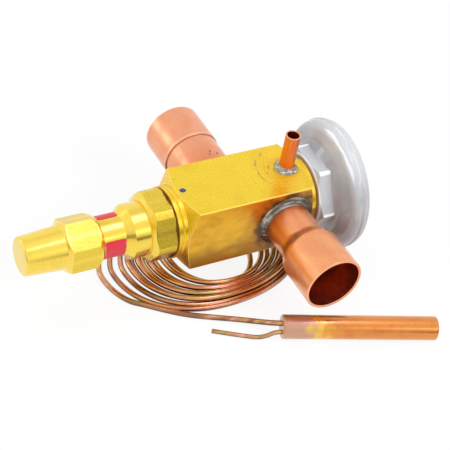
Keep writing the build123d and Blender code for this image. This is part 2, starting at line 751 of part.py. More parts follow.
def housing_gasket():
    outer = COLLAR_R - HOUSING_GASKET_INSET
    return ring(X_HOUSING, X_BODY_LEFT, HOUSING_THREAD_R + THREAD_GAP, outer)


# ---- Seal cap and label ----
def seal_cap():
    """Cap with a hexagon for the spanner and a long tapered nose."""
    corner_r = CAP_HEX / sqrt(3)
    nose = turned_round(
        [
            (X_NOSE, 0),
            (X_NOSE, CAP_NOSE_R),
            (X_CAP_HEX_END, CAP_NECK_R),
            (X_CAP, CAP_NECK_R),
            (X_CAP, 0),
        ],
        [0, CAP_NOSE_ROUND, 0, 0, 0],
    )
    chamfering = turned(
        (X_CAP_HEX_END, 0),
        (X_CAP_HEX_END, CAP_NECK_R),
        (X_CAP_HEX_END + CAP_CHAMFER, corner_r),
        (X_CAP_HEX, corner_r),
        (X_CAP, CAP_MOUTH_R),
        (X_CAP, 0),
    )
    cap = nose + (hexagon(CAP_HEX, X_CAP_HEX_END, X_CAP, CAP_HEX_TURN) & chamfering)
    thread_end = X_CAP - CAP_BORE
    cavity_end = thread_end - CAP_CAVITY
    hollow = [
        (X_CAP, 0),
        (X_CAP, CAP_THREAD_R + RUNNING_GAP),
        (thread_end, CAP_THREAD_R + RUNNING_GAP),
        (thread_end, CAP_CAVITY_R),
        (cavity_end, CAP_CAVITY_R),
        (cavity_end, 0),
    ]
    return cap - turned_round(hollow, [0, 0, 0, 0, CAP_CAVITY_ROUND, 0])


def cap_gasket():
    return ring(X_CAP, X_NECK_END, CAP_THREAD_R + THREAD_GAP, NECK_R - CAP_GASKET_INSET)


def label_band():
    """Bare band wrapped most of the way round the neck."""
    start = X_NECK_END + LABEL_MARGIN
    end = X_NECK - LABEL_MARGIN
    corners = [(start, NECK_R), (end, NECK_R), (end, NECK_R + LABEL_T), (start, NECK_R + LABEL_T)]
    band = revolve(make_face(Polyline(*corners, close=True)), Axis.X, LABEL_SWEEP)
    return Rot(X=LABEL_FROM) * band


# ---- Bulb, capillary and coil ----
def bulb_plane():
    """Plane on the bulb's axis at its capillary end, with its x along the bulb."""
    angle = radians(BULB_TURN)
    along = (cos(angle), sin(angle), 0)
    x, y = BULB_END
    return Plane(origin=(X_COIL + x, y, TABLE + BULB_R), x_dir=along, z_dir=(0, 0, 1))


def at_bulb(along, aside, up):
    """Point given from the bulb's capillary end."""
    return tuple(bulb_plane().from_local_coords(Vector(along, aside, up)))


def sensing_bulb():
    """Sealed copper bulb with rounded ends; two holes take the capillary and the charge tail."""
    outline = [(0, 0), (0, BULB_R), (BULB_LENGTH, BULB_R), (BULB_LENGTH, 0)]
    bulb = bulb_plane().location * turned_round(outline, [0, BULB_ROUND, BULB_ROUND, 0])
    holes = ((LEAD_OFFSET, 0, CAPILLARY_R), (TAIL_OFFSET, TAIL_DROP, TAIL_R))
    for offset, height, radius in holes:
        floor = at_bulb(BULB_ENTRY, offset, height)
        bulb -= rod(floor, at_bulb(-BULB_ENTRY, offset, height), radius)
    return bulb


def route_radii(points):
    """Largest bend at each corner: a share of the shorter run over the tangent of half the turn."""
    radii = []
    for before, corner, after in zip(points, points[1:], points[2:]):
        run_in = Vector(*corner) - Vector(*before)
        run_out = Vector(*after) - Vector(*corner)
        half_turn = radians(run_in.get_angle(run_out) / 2)
        radii.append(BEND_SHARE * min(run_in.length, run_out.length) / tan(half_turn))
    return radii


def tube(name, points, radius):
    """Tube of straight runs joined by tangent arcs; prints its bends and its length."""
    radii = route_radii(points)
    path = FilletPolyline(*points, radius=radii)
    solid = sweep(Plane(origin=path @ 0, z_dir=path % 0) * Circle(radius), path=path)
    share = solid.volume / (pi * radius**2 * path.length)
    print(name, "length", round(path.length, 1), "bends", [round(r, 1) for r in radii])
    print(name, "volume over section times length", round(share, 4))
    return solid


def along_route(start_x, route):
    return [(start_x + x, y, TABLE + height) for x, y, height in route]


def capillary_lead():
    """From the ferrule down behind the cover and in under the rim, to the coil."""
    points = [capillary_start(), ferrule_point(FERRULE_RUN)]
    points += along_route(X_RIM, LEAD_ROUTE)
    return tube("capillary_lead", points, CAPILLARY_R)


def capillary_coil():
    """Outer shape of the loose turns: an oval ring, wide on the left where they fan out."""
    outer = Pos(X_COIL, COIL_Y) * RectangleRounded(*COIL_SIZE, COIL_CORNER)
    inner = Pos(X_COIL + COIL_INNER_SHIFT, COIL_Y) * Ellipse(*COIL_INNER)
    ring_solid = Pos(0, 0, TABLE) * extrude(outer - inner, COIL_HEIGHT)
    return fillet(ring_solid.edges().group_by(Axis.Z)[-1], COIL_ROUND)


def bulb_lead():
    """From the left of the coil along the table to the bulb."""
    points = along_route(X_COIL, BULB_LEAD_ROUTE)
    points += [at_bulb(-LEAD_STRAIGHT, LEAD_OFFSET, 0), at_bulb(BULB_ENTRY, LEAD_OFFSET, 0)]
    return tube("bulb_lead", points, CAPILLARY_R)


def charge_tail():
    """Thin filling tube out of the bulb's end, bent back and lying on the table."""
    inside = at_bulb(BULB_ENTRY, TAIL_OFFSET, TAIL_DROP)
    points = [inside, at_bulb(-TAIL_STRAIGHT, TAIL_OFFSET, TAIL_DROP)]
    points += along_route(X_COIL, TAIL_ROUTE)
    return tube("charge_tail", points, TAIL_R)


PIECES = {
    "valve_body": valve_body,
    "inlet_fitting": inlet_fitting,
    "outlet_fitting": outlet_fitting,
    "equalizer_tube": equalizer_tube,
    "inlet_braze": inlet_braze,
    "outlet_braze": outlet_braze,
    "equalizer_braze": equalizer_braze,
    "element_base": element_base,
    "element_cover": element_cover,
    "rim_weld": rim_weld,
    "diaphragm": diaphragm,
    "buffer_plate": buffer_plate,
    "element_gasket": element_gasket,
    "capillary_ferrule": capillary_ferrule,
    "valve_seat": valve_seat,
    "valve_pin": valve_pin,
    "pin_carrier": pin_carrier,
    "push_rods": push_rods,
    "superheat_spring": superheat_spring,
    "lower_spring_guide": lower_spring_guide,
    "adjusting_stem": adjusting_stem,
    "stem_packing": stem_packing,
    "packing_washer": packing_washer,
    "packing_nut": packing_nut,
    "spring_housing": spring_housing,
    "housing_gasket": housing_gasket,
    "seal_cap": seal_cap,
    "cap_gasket": cap_gasket,
    "label_band": label_band,
    "sensing_bulb": sensing_bulb,
    "charge_tail": charge_tail,
    "capillary_lead": capillary_lead,
    "capillary_coil": capillary_coil,
    "bulb_lead": bulb_lead,
}

os.makedirs("parts", exist_ok=True)
print("origin shift", tuple(ORIGIN))
for name, make in PIECES.items():
    piece = Pos(*(-ORIGIN)) * make()
    export_step(piece, f"parts/{name}.step")
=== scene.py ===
# %% [markdown]
# A thermostatic expansion valve meters liquid refrigerant into an evaporator. A square brass body
# carries two copper ends and a small equaliser tube, all brazed in. A pressed steel element on one
# end works the pin inside, and a spring housing with a seal cap sits on the other. A thin
# capillary tube, wound up loosely for storage, leads to the sensing bulb.
# The exact solids come in as the frame. This file gives each of them a finish, and makes what a
# solid is too plain for: the long capillary, the runny braze metal and its spatter.

# %% Load the frame
from math import cos, pi, radians, sin

import bmesh
import bpy
from mathutils import Matrix, Vector, noise


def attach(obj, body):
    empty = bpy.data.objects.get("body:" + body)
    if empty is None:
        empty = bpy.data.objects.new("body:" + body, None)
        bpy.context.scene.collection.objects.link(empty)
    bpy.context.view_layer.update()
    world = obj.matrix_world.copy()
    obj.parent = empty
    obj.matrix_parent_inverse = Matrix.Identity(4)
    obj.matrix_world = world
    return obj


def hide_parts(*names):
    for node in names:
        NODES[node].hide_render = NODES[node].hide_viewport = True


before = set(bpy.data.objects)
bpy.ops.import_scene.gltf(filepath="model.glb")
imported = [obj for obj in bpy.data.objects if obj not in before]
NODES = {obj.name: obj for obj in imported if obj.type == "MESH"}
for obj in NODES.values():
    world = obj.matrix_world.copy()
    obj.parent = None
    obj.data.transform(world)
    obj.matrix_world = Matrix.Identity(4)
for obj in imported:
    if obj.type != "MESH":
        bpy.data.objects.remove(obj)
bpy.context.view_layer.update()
MM = 0.001

# %% [markdown]
# The valve is easiest to describe on its own axis: x runs from the bar's left corner plane towards
# the element, y towards the inlet, z up, in millimetres. The frame's origin lies on the table under
# the middle of the valve, so one small helper turns valve millimetres into frame metres.

# %% Places on the valve
ORIGIN = Vector((10.25, -1.1, -36.0))
TABLE = -36.0
HALF_BAR = 19.0
INLET_X, OUTLET_X, EQUALIZER_X = 29.1, 53.3, 60.3
INLET_NECK_R, OUTLET_NECK_R, EQUALIZER_R = 15.2, 12.5, 3.97
INLET_MOUTH, OUTLET_MOUTH, EQUALIZER_TOP = 66.7, 68.9, 41.0
SOCKET_BORE, EQUALIZER_BORE = 14.4, 3.25


def at(x, y, z):
    """Frame place, in metres, of a point given in valve millimetres."""
    return (Vector((x, y, z)) - ORIGIN) * MM


def placed(name, data):
    """New object at the frame's origin that holds a mesh, curve, lamp or camera."""
    thing = bpy.data.objects.new(name, data)
    bpy.context.collection.objects.link(thing)
    return thing


def mesh_from(work, name):
    """Mesh made from a bmesh, which is freed."""
    mesh = bpy.data.meshes.new(name)
    work.to_mesh(mesh)
    work.free()
    return mesh


print("valve axis in the frame", tuple(round(v, 5) for v in at(0, 0, 0)))

# %% [markdown]
# The camera stands well back with a long lens, looks down on the valve from its cap end, and is
# rolled a little, so the valve climbs to the right. A camera's own axes are right, up and back;
# setting its matrix from those three directions avoids guessing at Euler angles.

# %% Camera
AZIMUTH, ELEVATION, ROLL = radians(-35.525), radians(41.753), radians(11.555)
STAND = Vector((-0.295156, -0.439141, 0.505774))
LENS, SENSOR = 109.53, 36.0
back = Vector((sin(AZIMUTH) * cos(ELEVATION), -cos(AZIMUTH) * cos(ELEVATION), sin(ELEVATION)))
level = Vector((cos(AZIMUTH), sin(AZIMUTH), 0))
right = cos(ROLL) * level + sin(ROLL) * back.cross(level)
camera_data = bpy.data.cameras.new("camera")
camera_data.lens, camera_data.sensor_width = LENS, SENSOR
camera = placed("camera", camera_data)
camera.matrix_world = Matrix((right, back.cross(right), back)).transposed().to_4x4()
camera.matrix_world.translation = STAND
bpy.context.scene.camera = camera
bpy.context.scene.view_settings.view_transform = "Standard"
print("camera to origin", round(camera.matrix_world.translation.length, 3), "m")

# %% [markdown]
# The capillary is one thin copper tube: out of the ferrule behind the element, down under its rim,
# round and round in a loose coil under the body, and away along the table to the bulb. A NURBS
# curve with few control points bends like soft tube does, without the corners that a polyline
# would show. The turns are not equal: someone wound them by hand, so each has its own width on
# each side, and every other one lies in the groove between its neighbours.

# %% Sizes of the turns
CAPILLARY_R, TAIL_R = 1.5, 1.2
ON_TABLE = TABLE + CAPILLARY_R
UPPER = ON_TABLE + 2.6
LEFT = (1.6, -2.8, -6.8, -10.5, -13.4, -16.3, -19.3, -21.8, -25.7, -31.9, -38.4)
FRONT = (-20.8, -22.3, -23.8, -25.3, -26.8, -28.3, -29.8, -31.3, -32.8, -35.2, -36.0)
RIGHT = (47.0, 54.0, 58.5, 62.0, 66.0, 68.0, 70.0, 72.0, 74.0, 77.0)
BACK = (42.4, 44.0, 45.5, 47.1, 48.6, 50.2, 51.7, 53.3, 54.8, 56.4, 58.5)
ORDER = (8, 6, 4, 2, 0, 1, 3, 5, 7, 9, 10)
TURN_POINTS = 24
SQUARENESS = 0.92
SLACKNESS = 1.4
CENTRE_Y = 6.0


def height(turn, side):
    """Height of a turn's middle line on one side of the coil."""
    if turn % 2 == 0 or turn > 8 and side != "right":
        return ON_TABLE
    return ON_TABLE + 1.4 if side == "left" else UPPER


def swing(value, slack):
    """How far round a quarter reaches: a little square, or cut across where the turns hang slack."""
    return abs(value) ** (SLACKNESS if slack else SQUARENESS)


def coil_point(before, turn, angle):
    """Point on the coil: right side from the turn before, the other three sides from this one."""
    across, along = cos(angle), sin(angle)
    wide = before if across > 0 and along >= 0 else turn
    centre_x = 27.0 - 1.1 * (turn if across < 0 else wide)
    reach_x = (RIGHT[min(wide, 9)] if across > 0 else LEFT[turn]) - centre_x
    reach_y = (BACK[turn] if along > 0 else FRONT[turn]) - CENTRE_Y
    side_x = height(min(wide, 9), "right") if across > 0 else height(turn, "left")
    side_y = height(turn, "back" if along > 0 else "front")
    rise = side_x * across**2 + side_y * along**2
    slack = across < 0 and along > 0
    return (centre_x + reach_x * swing(across, slack), CENTRE_Y + reach_y * swing(along, slack), rise)


coil = []
before = 9
for number, turn in enumerate(ORDER):
    for step in range(TURN_POINTS):
        angle = 2 * pi * step / TURN_POINTS
        start_late = number == 0 and step < 4
        leaves = number == len(ORDER) - 1 and step > 14
        if start_late or leaves:
            continue
        coil.append(coil_point(before if step < TURN_POINTS // 4 else turn, turn, angle))
    before = turn
print("coil points", len(coil))

# %% The capillary as one cord
FERRULE_OUT = [(104.6, 0.75, -1.3), (104.6, 5.5, -9.53)]
TO_COIL = [
    (104.6, 12.4, -19.8),
    (102.2, 19.4, -27.6),
    (97.0, 26.4, -32.6),
    (88.8, 31.8, ON_TABLE),
    (78.8, 35.4, ON_TABLE),
    (68.4, 38.4, ON_TABLE),
]
TO_BULB = [
    (-25.8, -20.4, ON_TABLE),
    (-17.4, -27.4, ON_TABLE),
    (-8.0, -34.4, ON_TABLE),
    (3.6, -40.4, ON_TABLE),
    (15.0, -46.2, -34.2),
    (24.4, -53.2, -32.4),
    (30.11, -59.12, -29.65),
    (35.45, -61.12, -29.65),
]
CHARGE_TAIL = [
    (33.94, -65.15, -31.45),
    (28.79, -63.22, -31.45),
    (24.4, -62.6, -33.6),
    (19.6, -60.9, -34.8),
    (11.6, -56.2, -34.8),
    (3.4, -51.2, -34.8),
    (-0.4, -48.8, -34.8),
]


def tube_curve(name, points, radius):
    """Round tube on one open NURBS spline with control points in valve millimetres.

    The bevel is 1 m and each control point shrinks it to the tube's radius, because a curve's box
    is then right: its plain control points count with their own radius.
    """
    curve = bpy.data.curves.new(name, "CURVE")
    curve.dimensions = "3D"
    curve.bevel_depth = 1.0
    curve.bevel_resolution = 5
    curve.resolution_u = 5
    curve.use_fill_caps = True
    spline = curve.splines.new("NURBS")
    spline.points.add(len(points) - 1)
    for control, point in zip(spline.points, points):
        control.co = (*at(*point), 1.0)
        control.radius = radius * MM
    spline.order_u = 3
    spline.use_endpoint_u = True
    return placed(name, curve)


def line_length(piece):
    """Length of a curve's own line, read from a copy of it with no bevel."""
    plain = piece.copy()
    plain.data = piece.data.copy()
    plain.data.bevel_depth = 0.0
    line = bpy.data.meshes.new_from_object(plain)
    places = [v.co.copy() for v in line.vertices]
    bpy.data.objects.remove(plain)
    return sum((b - a).length for a, b in zip(places, places[1:]))


capillary = tube_curve("capillary", FERRULE_OUT + TO_COIL + coil + TO_BULB, CAPILLARY_R)
charge_tail = tube_curve("charge_tail_tube", CHARGE_TAIL, TAIL_R)
capillary_length = round(line_length(capillary), 3)
tail_length = round(line_length(charge_tail), 4)
print("capillary", capillary_length, "m, charge tail", tail_length, "m")

for piece, nodes in ((capillary, ["capillary_lead", "capillary_coil", "bulb_lead"]),
                     (charge_tail, ["charge_tail"])):
    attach(piece, "valve")
    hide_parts(*nodes)

# %% [markdown]
# Every finish here is built the same way. One Principled shader starts with a plain colour and a
# roughness, and layers go over it, as they do on real metal: drawing lines, turning marks, heat
# tint, specks. A layer needs to know where it is, so each finish reads the piece's own Object
# coordinates, turned into valve millimetres. A small class keeps the node building short.

# %% A finish in layers
def new_material(name):
    material = bpy.data.materials.new(name)
    material.use_nodes = True
    tree = material.node_tree
    tree.nodes.clear()
    return material, tree, tree.nodes.new("ShaderNodeOutputMaterial")


def paint(red, green, blue):
    """Colour given 0 to 255, as the linear value that a shader takes."""
    def linear(value):
        share = value / 255
        return share / 12.92 if share <= 0.04045 else ((share + 0.055) / 1.055) ** 2.4
    return (linear(red), linear(green), linear(blue), 1.0)


class Finish:
    """One Principled shader with layers of colour, roughness and height over it."""

    def __init__(self, name, color, roughness, metallic=1.0, coat=0.0, coat_roughness=0.1):
        self.material, self.tree, self.output = new_material(name)
        self.shader = self.add("ShaderNodeBsdfPrincipled", {
            "Metallic": metallic, "Coat Weight": coat, "Coat Roughness": coat_roughness,
        })
        self.tree.links.new(self.shader.outputs[0], self.output.inputs["Surface"])
        texture_place = self.add("ShaderNodeTexCoord")
        millimetres = self.add("ShaderNodeVectorMath", {0: texture_place.outputs["Object"]}, "SCALE")
        millimetres.inputs["Scale"].default_value = 1 / MM
        self.normal = texture_place.outputs["Normal"]
        self.place = self.vector("ADD", millimetres.outputs[0], ORIGIN)
        parts = self.add("ShaderNodeSeparateXYZ", {0: self.place})
        self.x, self.y, self.z = parts.outputs
        self.color, self.roughness, self.height = paint(*color), roughness, 0.0

    def add(self, kind, values=(), operation=None, **settings):
        node = self.tree.nodes.new(kind)
        if operation:
            node.operation = operation
        for setting, value in settings.items():
            setattr(node, setting, value)
        for socket, value in dict(values).items():
            self.put(node.inputs[socket], value)
        return node

    def put(self, socket, value):
        if isinstance(value, bpy.types.NodeSocket):
            self.tree.links.new(value, socket)
        else:
            socket.default_value = value

    def math(self, operation, *values):
        return self.add("ShaderNodeMath", enumerate(values), operation).outputs[0]

    def vector(self, operation, *values):
        node = self.add("ShaderNodeVectorMath", enumerate(values), operation)
        return node.outputs["Value" if operation in ("LENGTH", "DOT_PRODUCT") else 0]

    def times(self, *values):
        total = values[0]
        for value in values[1:]:
            total = self.math("MULTIPLY", total, value)
        return total

    def ramp(self, value, low, high, to_low=0.0, to_high=1.0):
        """Soft step from one value to another while the input goes from low to high."""
        node = self.add("ShaderNodeMapRange", interpolation_type="SMOOTHSTEP")
        for socket, number in zip(node.inputs, (value, low, high, to_low, to_high)):
            self.put(socket, number)
        return node.outputs[0]

    def stretched(self, stretch, shift=(0.0, 0.0, 0.0), place=None):
        return self.vector("MULTIPLY_ADD", place or self.place, stretch, shift)

    def noise(self, scale, stretch=(1.0, 1.0, 1.0), detail=2.0, shift=(0.0, 0.0, 0.0), place=None):
        """Cloudy value round 0.5; scale is in clouds per millimetre."""
        vector = self.stretched(stretch, shift, place)
        return self.add("ShaderNodeTexNoise",
                        {"Vector": vector, "Scale": scale, "Detail": detail}).outputs[0]

    def distance(self, centre, along):
        """Distance from a line through centre that runs along one of the axes."""
        keep = [0.0 if axis == along else 1.0 for axis in "xyz"]
        away = self.vector("SUBTRACT", self.place, centre)
        return self.vector("LENGTH", self.vector("MULTIPLY", away, keep))

    def patches(self, low, high, most, scale, **pattern):
        """Cloudy share from 0 to most, where the noise goes from low to high."""
        return self.ramp(self.noise(scale, **pattern), low, high, 0.0, most)

    def specks(self, spacing, size, share, stretch=(1.0, 1.0, 1.0)):
        """Scattered spots: a share of the cells of a cell pattern gets one each."""
        cells = self.add("ShaderNodeTexVoronoi",
                         {"Vector": self.stretched(stretch), "Scale": 1 / spacing})
        lot = self.add("ShaderNodeSeparateColor", {0: cells.outputs["Color"]}).outputs[0]
        chosen = self.math("LESS_THAN", lot, share)
        return self.times(self.ramp(cells.outputs["Distance"], size / spacing, 0.5 * size / spacing),
                          chosen)

    def tint(self, color, *shares):
        """Blend towards a colour, 0 to 255, by the product of the shares."""
        mix = {0: self.times(*shares), 6: self.color, 7: paint(*color)}
        self.color = self.add("ShaderNodeMix", mix, data_type="RGBA").outputs[2]

    def dull(self, roughness, *shares):
        mix = {0: self.times(*shares), 2: self.roughness, 3: roughness}
        self.roughness = self.add("ShaderNodeMix", mix, data_type="FLOAT").outputs[0]

    def emboss(self, millimetres, *pattern):
        self.height = self.math("MULTIPLY_ADD", self.times(*pattern), millimetres, self.height)

    def done(self):
        """Connect the layers, and return the material."""
        self.put(self.shader.inputs["Base Color"], self.color)
        self.put(self.shader.inputs["Roughness"], self.roughness)
        if not isinstance(self.height, float):
            bump = self.add("ShaderNodeBump", {"Height": self.height, "Distance": MM})
            self.tree.links.new(bump.outputs[0], self.shader.inputs["Normal"])
        return self.material


def dress(material, *names):
    for name in names:
        for slot in NODES[name].material_slots:
            slot.material = material


print("finish helper ready")

# %% [markdown]
# The body is cold-drawn square brass bar. Drawing leaves fine lines along its length, and the
# torch leaves its own marks: the sides that carry the copper ends turned orange and then brown
# round the joints, flux left pale and dark arcs beside the small tube, and grease burnt to specks.
# The side faces carry painted shade, darker towards their bottom; painted highlights run along the long
# edges and the end cone.

# %% Drawn brass of the body
BAR_YELLOW = (252, 218, 54)
NEAR_FACE, AT_FACE = HALF_BAR - 0.6, HALF_BAR - 0.1
CORNER_R, CONE_SLOPE = 26.87, 2.097  # the bar's corner, and how fast the end cone falls from it


def bar_brass():
    finish = Finish("bar_brass", BAR_YELLOW, 0.29, coat=0.35, coat_roughness=0.2)
    across = finish.math("ABSOLUTE", finish.y)
    upright = finish.math("ABSOLUTE", finish.z)
    clouds = finish.noise(0.07, detail=3.0)
    lines = finish.noise(1.6, stretch=(0.035, 1.0, 1.0), detail=3.0)
    finish.tint((240, 196, 44), finish.ramp(clouds, 0.42, 0.72, 0.0, 0.45))
    finish.tint((214, 172, 44), finish.patches(0.46, 0.72, 0.5, 1.1, detail=8.0))
    finish.tint((214, 168, 40), finish.ramp(lines, 0.5, 0.8, 0.0, 0.2))
    finish.dull(0.38, finish.ramp(lines, 0.35, 0.75))
    finish.emboss(0.01, lines)
    finish.emboss(0.015, finish.noise(0.9, detail=4.0))

    sides = finish.ramp(across, NEAR_FACE, AT_FACE)
    front = finish.ramp(finish.y, -NEAR_FACE, -AT_FACE)
    rear = finish.ramp(finish.y, NEAR_FACE, AT_FACE)
    # Painted shade: the side faces are a shade more orange than the top.
    finish.tint((252, 196, 44), sides, 0.85)
    streaks = finish.noise(0.22, stretch=(0.35, 1.0, 1.0), detail=4.0, shift=(3.0, 0.0, 0.0))
    # Painted shade: the sides darken in ragged streaks towards their bottom, near the table.
    low = finish.times(sides, finish.ramp(finish.math("MULTIPLY_ADD", streaks, -18.0, finish.z), -9.0,
                                          -24.0))
    finish.tint((140, 88, 26), low, 0.7)
    mottled = finish.noise(0.16, stretch=(0.7, 1.0, 1.0), detail=7.0, shift=(1.0, 5.0, 2.0))
    finish.tint((176, 122, 36), sides, finish.ramp(mottled, 0.4, 0.75), 0.42)
    for middle, side in ((OUTLET_X, front), (INLET_X, rear)):
        away = finish.distance((middle, 0.0, 0.0), "y")
        ragged = finish.math("MULTIPLY_ADD", finish.noise(0.16, detail=4.0), 16.0, away)
        finish.tint((168, 104, 30), side, finish.ramp(ragged, 40.0, 24.0, 0.0, 0.75))
        finish.tint((92, 66, 40), side, finish.ramp(ragged, 29.0, 23.0, 0.0, 0.85))
        finish.dull(0.55, side, finish.ramp(ragged, 30.0, 23.0))

    top = finish.ramp(finish.z, NEAR_FACE, AT_FACE)
    round_tube = finish.distance((EQUALIZER_X, 0.0, 0.0), "z")
    wobble = finish.math("MULTIPLY_ADD", finish.noise(0.2, detail=2.0), 5.0, round_tube)
    broken = finish.ramp(finish.noise(0.13, detail=2.0, shift=(9.0, 4.0, 0.0)), 0.42, 0.58)
    left_of_tube = finish.ramp(finish.x, 56.0, 53.0)
    for radius in (11.3, 14.2, 18.6):
        arc = finish.ramp(finish.math("ABSOLUTE", finish.math("SUBTRACT", wobble, radius)), 0.9, 0.1)
        finish.tint((134, 122, 74), arc, broken, left_of_tube, top, 0.5)
    finish.tint((196, 160, 48), top, finish.ramp(wobble, 11.0, 7.5, 0.0, 0.55))
    finish.dull(0.6, top, finish.ramp(wobble, 24.0, 12.0))

    finish.tint((84, 66, 34), finish.specks(4.2, 0.3, 0.22), 0.8)
    finish.tint((112, 92, 50), finish.specks(7.0, 0.55, 0.16, stretch=(1.0, 0.35, 0.35)), 0.5)
    scratches = finish.ramp(finish.noise(0.5, stretch=(0.16, 2.6, 2.6), detail=1.0,
                                         shift=(5.0, 2.0, 0.0)), 0.73, 0.77)
    finish.tint((150, 122, 50), scratches, 0.35)

    # Painted highlight along the bar's four long edges.
    painted_edge_highlight = finish.ramp(finish.math("ADD", across, upright), 37.36, 37.52)
    finish.tint((255, 232, 112), painted_edge_highlight, 0.6)
    round_axis = finish.distance((0.0, 0.0, 0.0), "x")
    flat = finish.ramp(finish.math("MAXIMUM", across, upright), 18.9, 18.97)
    cone = finish.math("MULTIPLY_ADD", finish.x, CONE_SLOPE, CORNER_R)
    # Painted highlight on the flats where they meet the end cone.
    painted_cone_highlight = finish.ramp(finish.math("SUBTRACT", round_axis, cone), -0.9, -0.35)
    finish.tint((255, 236, 128), painted_cone_highlight, flat, finish.ramp(finish.x, 2.0, 0.5), 0.8)
    turned_part = finish.ramp(finish.math("MAXIMUM", across, upright), 18.93, 18.85)
    rings = finish.noise(3.0, stretch=(1.0, 0.0, 0.0), detail=2.0)
    finish.tint((216, 146, 30), turned_part, finish.ramp(rings, 0.4, 0.7), 0.5)
    return finish.done()


dress(bar_brass(), "valve_body")
print("body dressed")

# %% [markdown]
# The housing and the seal cap were turned on a lathe from hexagon bar, so their marks run round
# the axis: noise that only depends on the place along the axis and on the radius gives rings. The
# flats of the hexagons kept the bar's drawn skin, duller, greener and scuffed by spanners.

# %% Turned brass of the housing and the cap
def turned_brass(name, color, hexagons, flat_radius):
    """Turned brass whose hexagons, given as spans along the axis, keep a duller skin."""
    finish = Finish(name, color, 0.22, coat=0.9, coat_roughness=0.16)
    radius = finish.distance((0.0, 0.0, 0.0), "x")
    polar = finish.add("ShaderNodeCombineXYZ", {0: finish.x, 1: radius}).outputs[0]
    rings = finish.noise(3.2, detail=3.0, place=polar)
    finish.emboss(0.006, rings)
    finish.dull(0.3, finish.ramp(rings, 0.4, 0.75, 0.0, 0.8))
    finish.tint((222, 176, 44), finish.ramp(rings, 0.5, 0.8, 0.0, 0.4))
    finish.tint((236, 190, 60), finish.patches(0.45, 0.75, 0.3, 0.12, detail=3.0))
    clear = 0.6
    for start, end, strength in hexagons:
        on_flat = finish.times(
            finish.ramp(finish.x, start, start + 0.4),
            finish.ramp(finish.x, end, end - 0.4),
            finish.ramp(radius, flat_radius - 0.3, flat_radius - 0.05),
            strength,
        )
        scuffs = finish.noise(1.5, stretch=(0.5, 1.0, 1.0), detail=8.0)
        finish.tint((236, 206, 62), on_flat, 0.8)
        finish.tint((168, 146, 50), on_flat, finish.ramp(scuffs, 0.48, 0.7), 0.5)
        finish.dull(0.34, on_flat)
        clear = finish.math("SUBTRACT", clear, finish.times(on_flat, 0.4))
        finish.emboss(0.01, scuffs, on_flat)
    finish.put(finish.shader.inputs["Coat Weight"], clear)
    finish.tint((110, 86, 30), finish.specks(5.0, 0.3, 0.14), 0.6)
    return finish.done()


dress(turned_brass("housing_brass", (250, 216, 78), [(-20.4, -9.6, 1.0)], 17.4), "spring_housing")
dress(turned_brass("cap_brass", (252, 219, 84), [(-64.2, -48.6, 0.9)], 12.9), "seal_cap")
dress(turned_brass("nut_brass", (232, 190, 70), [], 9.0), "packing_nut")
print("housing, cap and packing nut dressed")

# %% [markdown]
# The copper ends are drawn tube: soft salmon pink with faint lines along the tube, cloudy where
# fingers and the torch oxidised it, orange-red beside the joints. Inside they are dark red-brown
# with oxide, and the cut lip at the mouth is bare and pale.

# %% Drawn copper of the tubes
OUTLET_NECK = (45.5, 11.5)      # its end and its bore's radius
# The step is marked with a painted shade line and a painted highlight line.
INLET_STEP = (42.3, 43.5)       # where the tube grows: a dark line, then a pale one


def tube_copper(name, axis, centre, wall, mouth, joint, skin=(244, 168, 126), warm=(232, 134, 92),
                neck=None):
    """Copper tube along one axis: bore, mouth, joint and (end and bore of the) neck in millimetres."""
    finish = Finish(name, skin, 0.3, coat=0.4, coat_roughness=0.15)
    along = {"y": finish.y, "z": finish.z}[axis]
    radius = finish.distance(centre, axis)
    draw = [0.06 if axis == letter else 1.0 for letter in "xyz"]
    lines = finish.noise(1.1, stretch=draw, detail=3.0)
    clouds = finish.noise(0.14, detail=4.0)
    finish.tint((234, 146, 102), finish.ramp(clouds, 0.4, 0.7, 0.0, 0.45))
    finish.tint((216, 122, 82), finish.ramp(lines, 0.5, 0.8, 0.0, 0.3))
    finish.dull(0.4, finish.ramp(clouds, 0.35, 0.7))
    finish.emboss(0.012, lines)
    finish.emboss(0.02, finish.noise(0.5, detail=3.0))
    finish.tint((206, 110, 74), finish.patches(0.55, 0.75, 0.4, 1.6, detail=6.0, shift=(2.0, 9.0, 4.0)))
    ragged = finish.math("MULTIPLY_ADD", finish.noise(0.2, detail=3.0, shift=(7.0, 1.0, 3.0)), 10.0,
                         along)
    near_joint = finish.ramp(ragged, joint + 5.0, joint + 5.0 + 0.45 * (mouth - joint), 1.0, 0.0)
    finish.tint(warm, near_joint, 0.8)
    finish.tint((130, 60, 40), finish.specks(3.4, 0.28, 0.2), 0.6)
    inside = finish.ramp(radius, wall, wall - 0.12)
    if neck:
        end, neck_wall = neck
        on_neck = finish.ramp(finish.math("ABSOLUTE", along), end + 0.3, end - 0.3)
        neck_bore = finish.ramp(radius, neck_wall, neck_wall - 0.12)
        inside = finish.math("ADD", finish.times(inside, finish.math("SUBTRACT", 1.0, on_neck)),
                             finish.times(neck_bore, on_neck))
    finish.tint((172, 74, 54), inside)
    finish.tint((214, 84, 60), inside, finish.ramp(clouds, 0.45, 0.62, 0.0, 0.8))
    oxide = finish.patches(0.52, 0.66, 0.7, 0.3, detail=4.0, shift=(1.0, 2.0, 8.0))
    finish.tint((108, 48, 38), inside, oxide)
    finish.dull(0.36, inside)
    # Painted shade and painted highlight: a dark line, then a pale one, where the inlet tube grows.
    for place, painted_step_tone in zip(INLET_STEP, ((120, 50, 36), (255, 214, 180))):
        line = finish.ramp(finish.math("ABSOLUTE", finish.math("SUBTRACT", along, place)), 0.5, 0.1)
        finish.tint(painted_step_tone, line, 0.75)
    lip = finish.ramp(finish.math("ABSOLUTE", finish.math("SUBTRACT", along, mouth)), 0.6, 0.2)
    finish.tint((252, 192, 156), lip, finish.ramp(radius, wall - 0.1, wall + 0.1), 0.6)
    return finish.done()


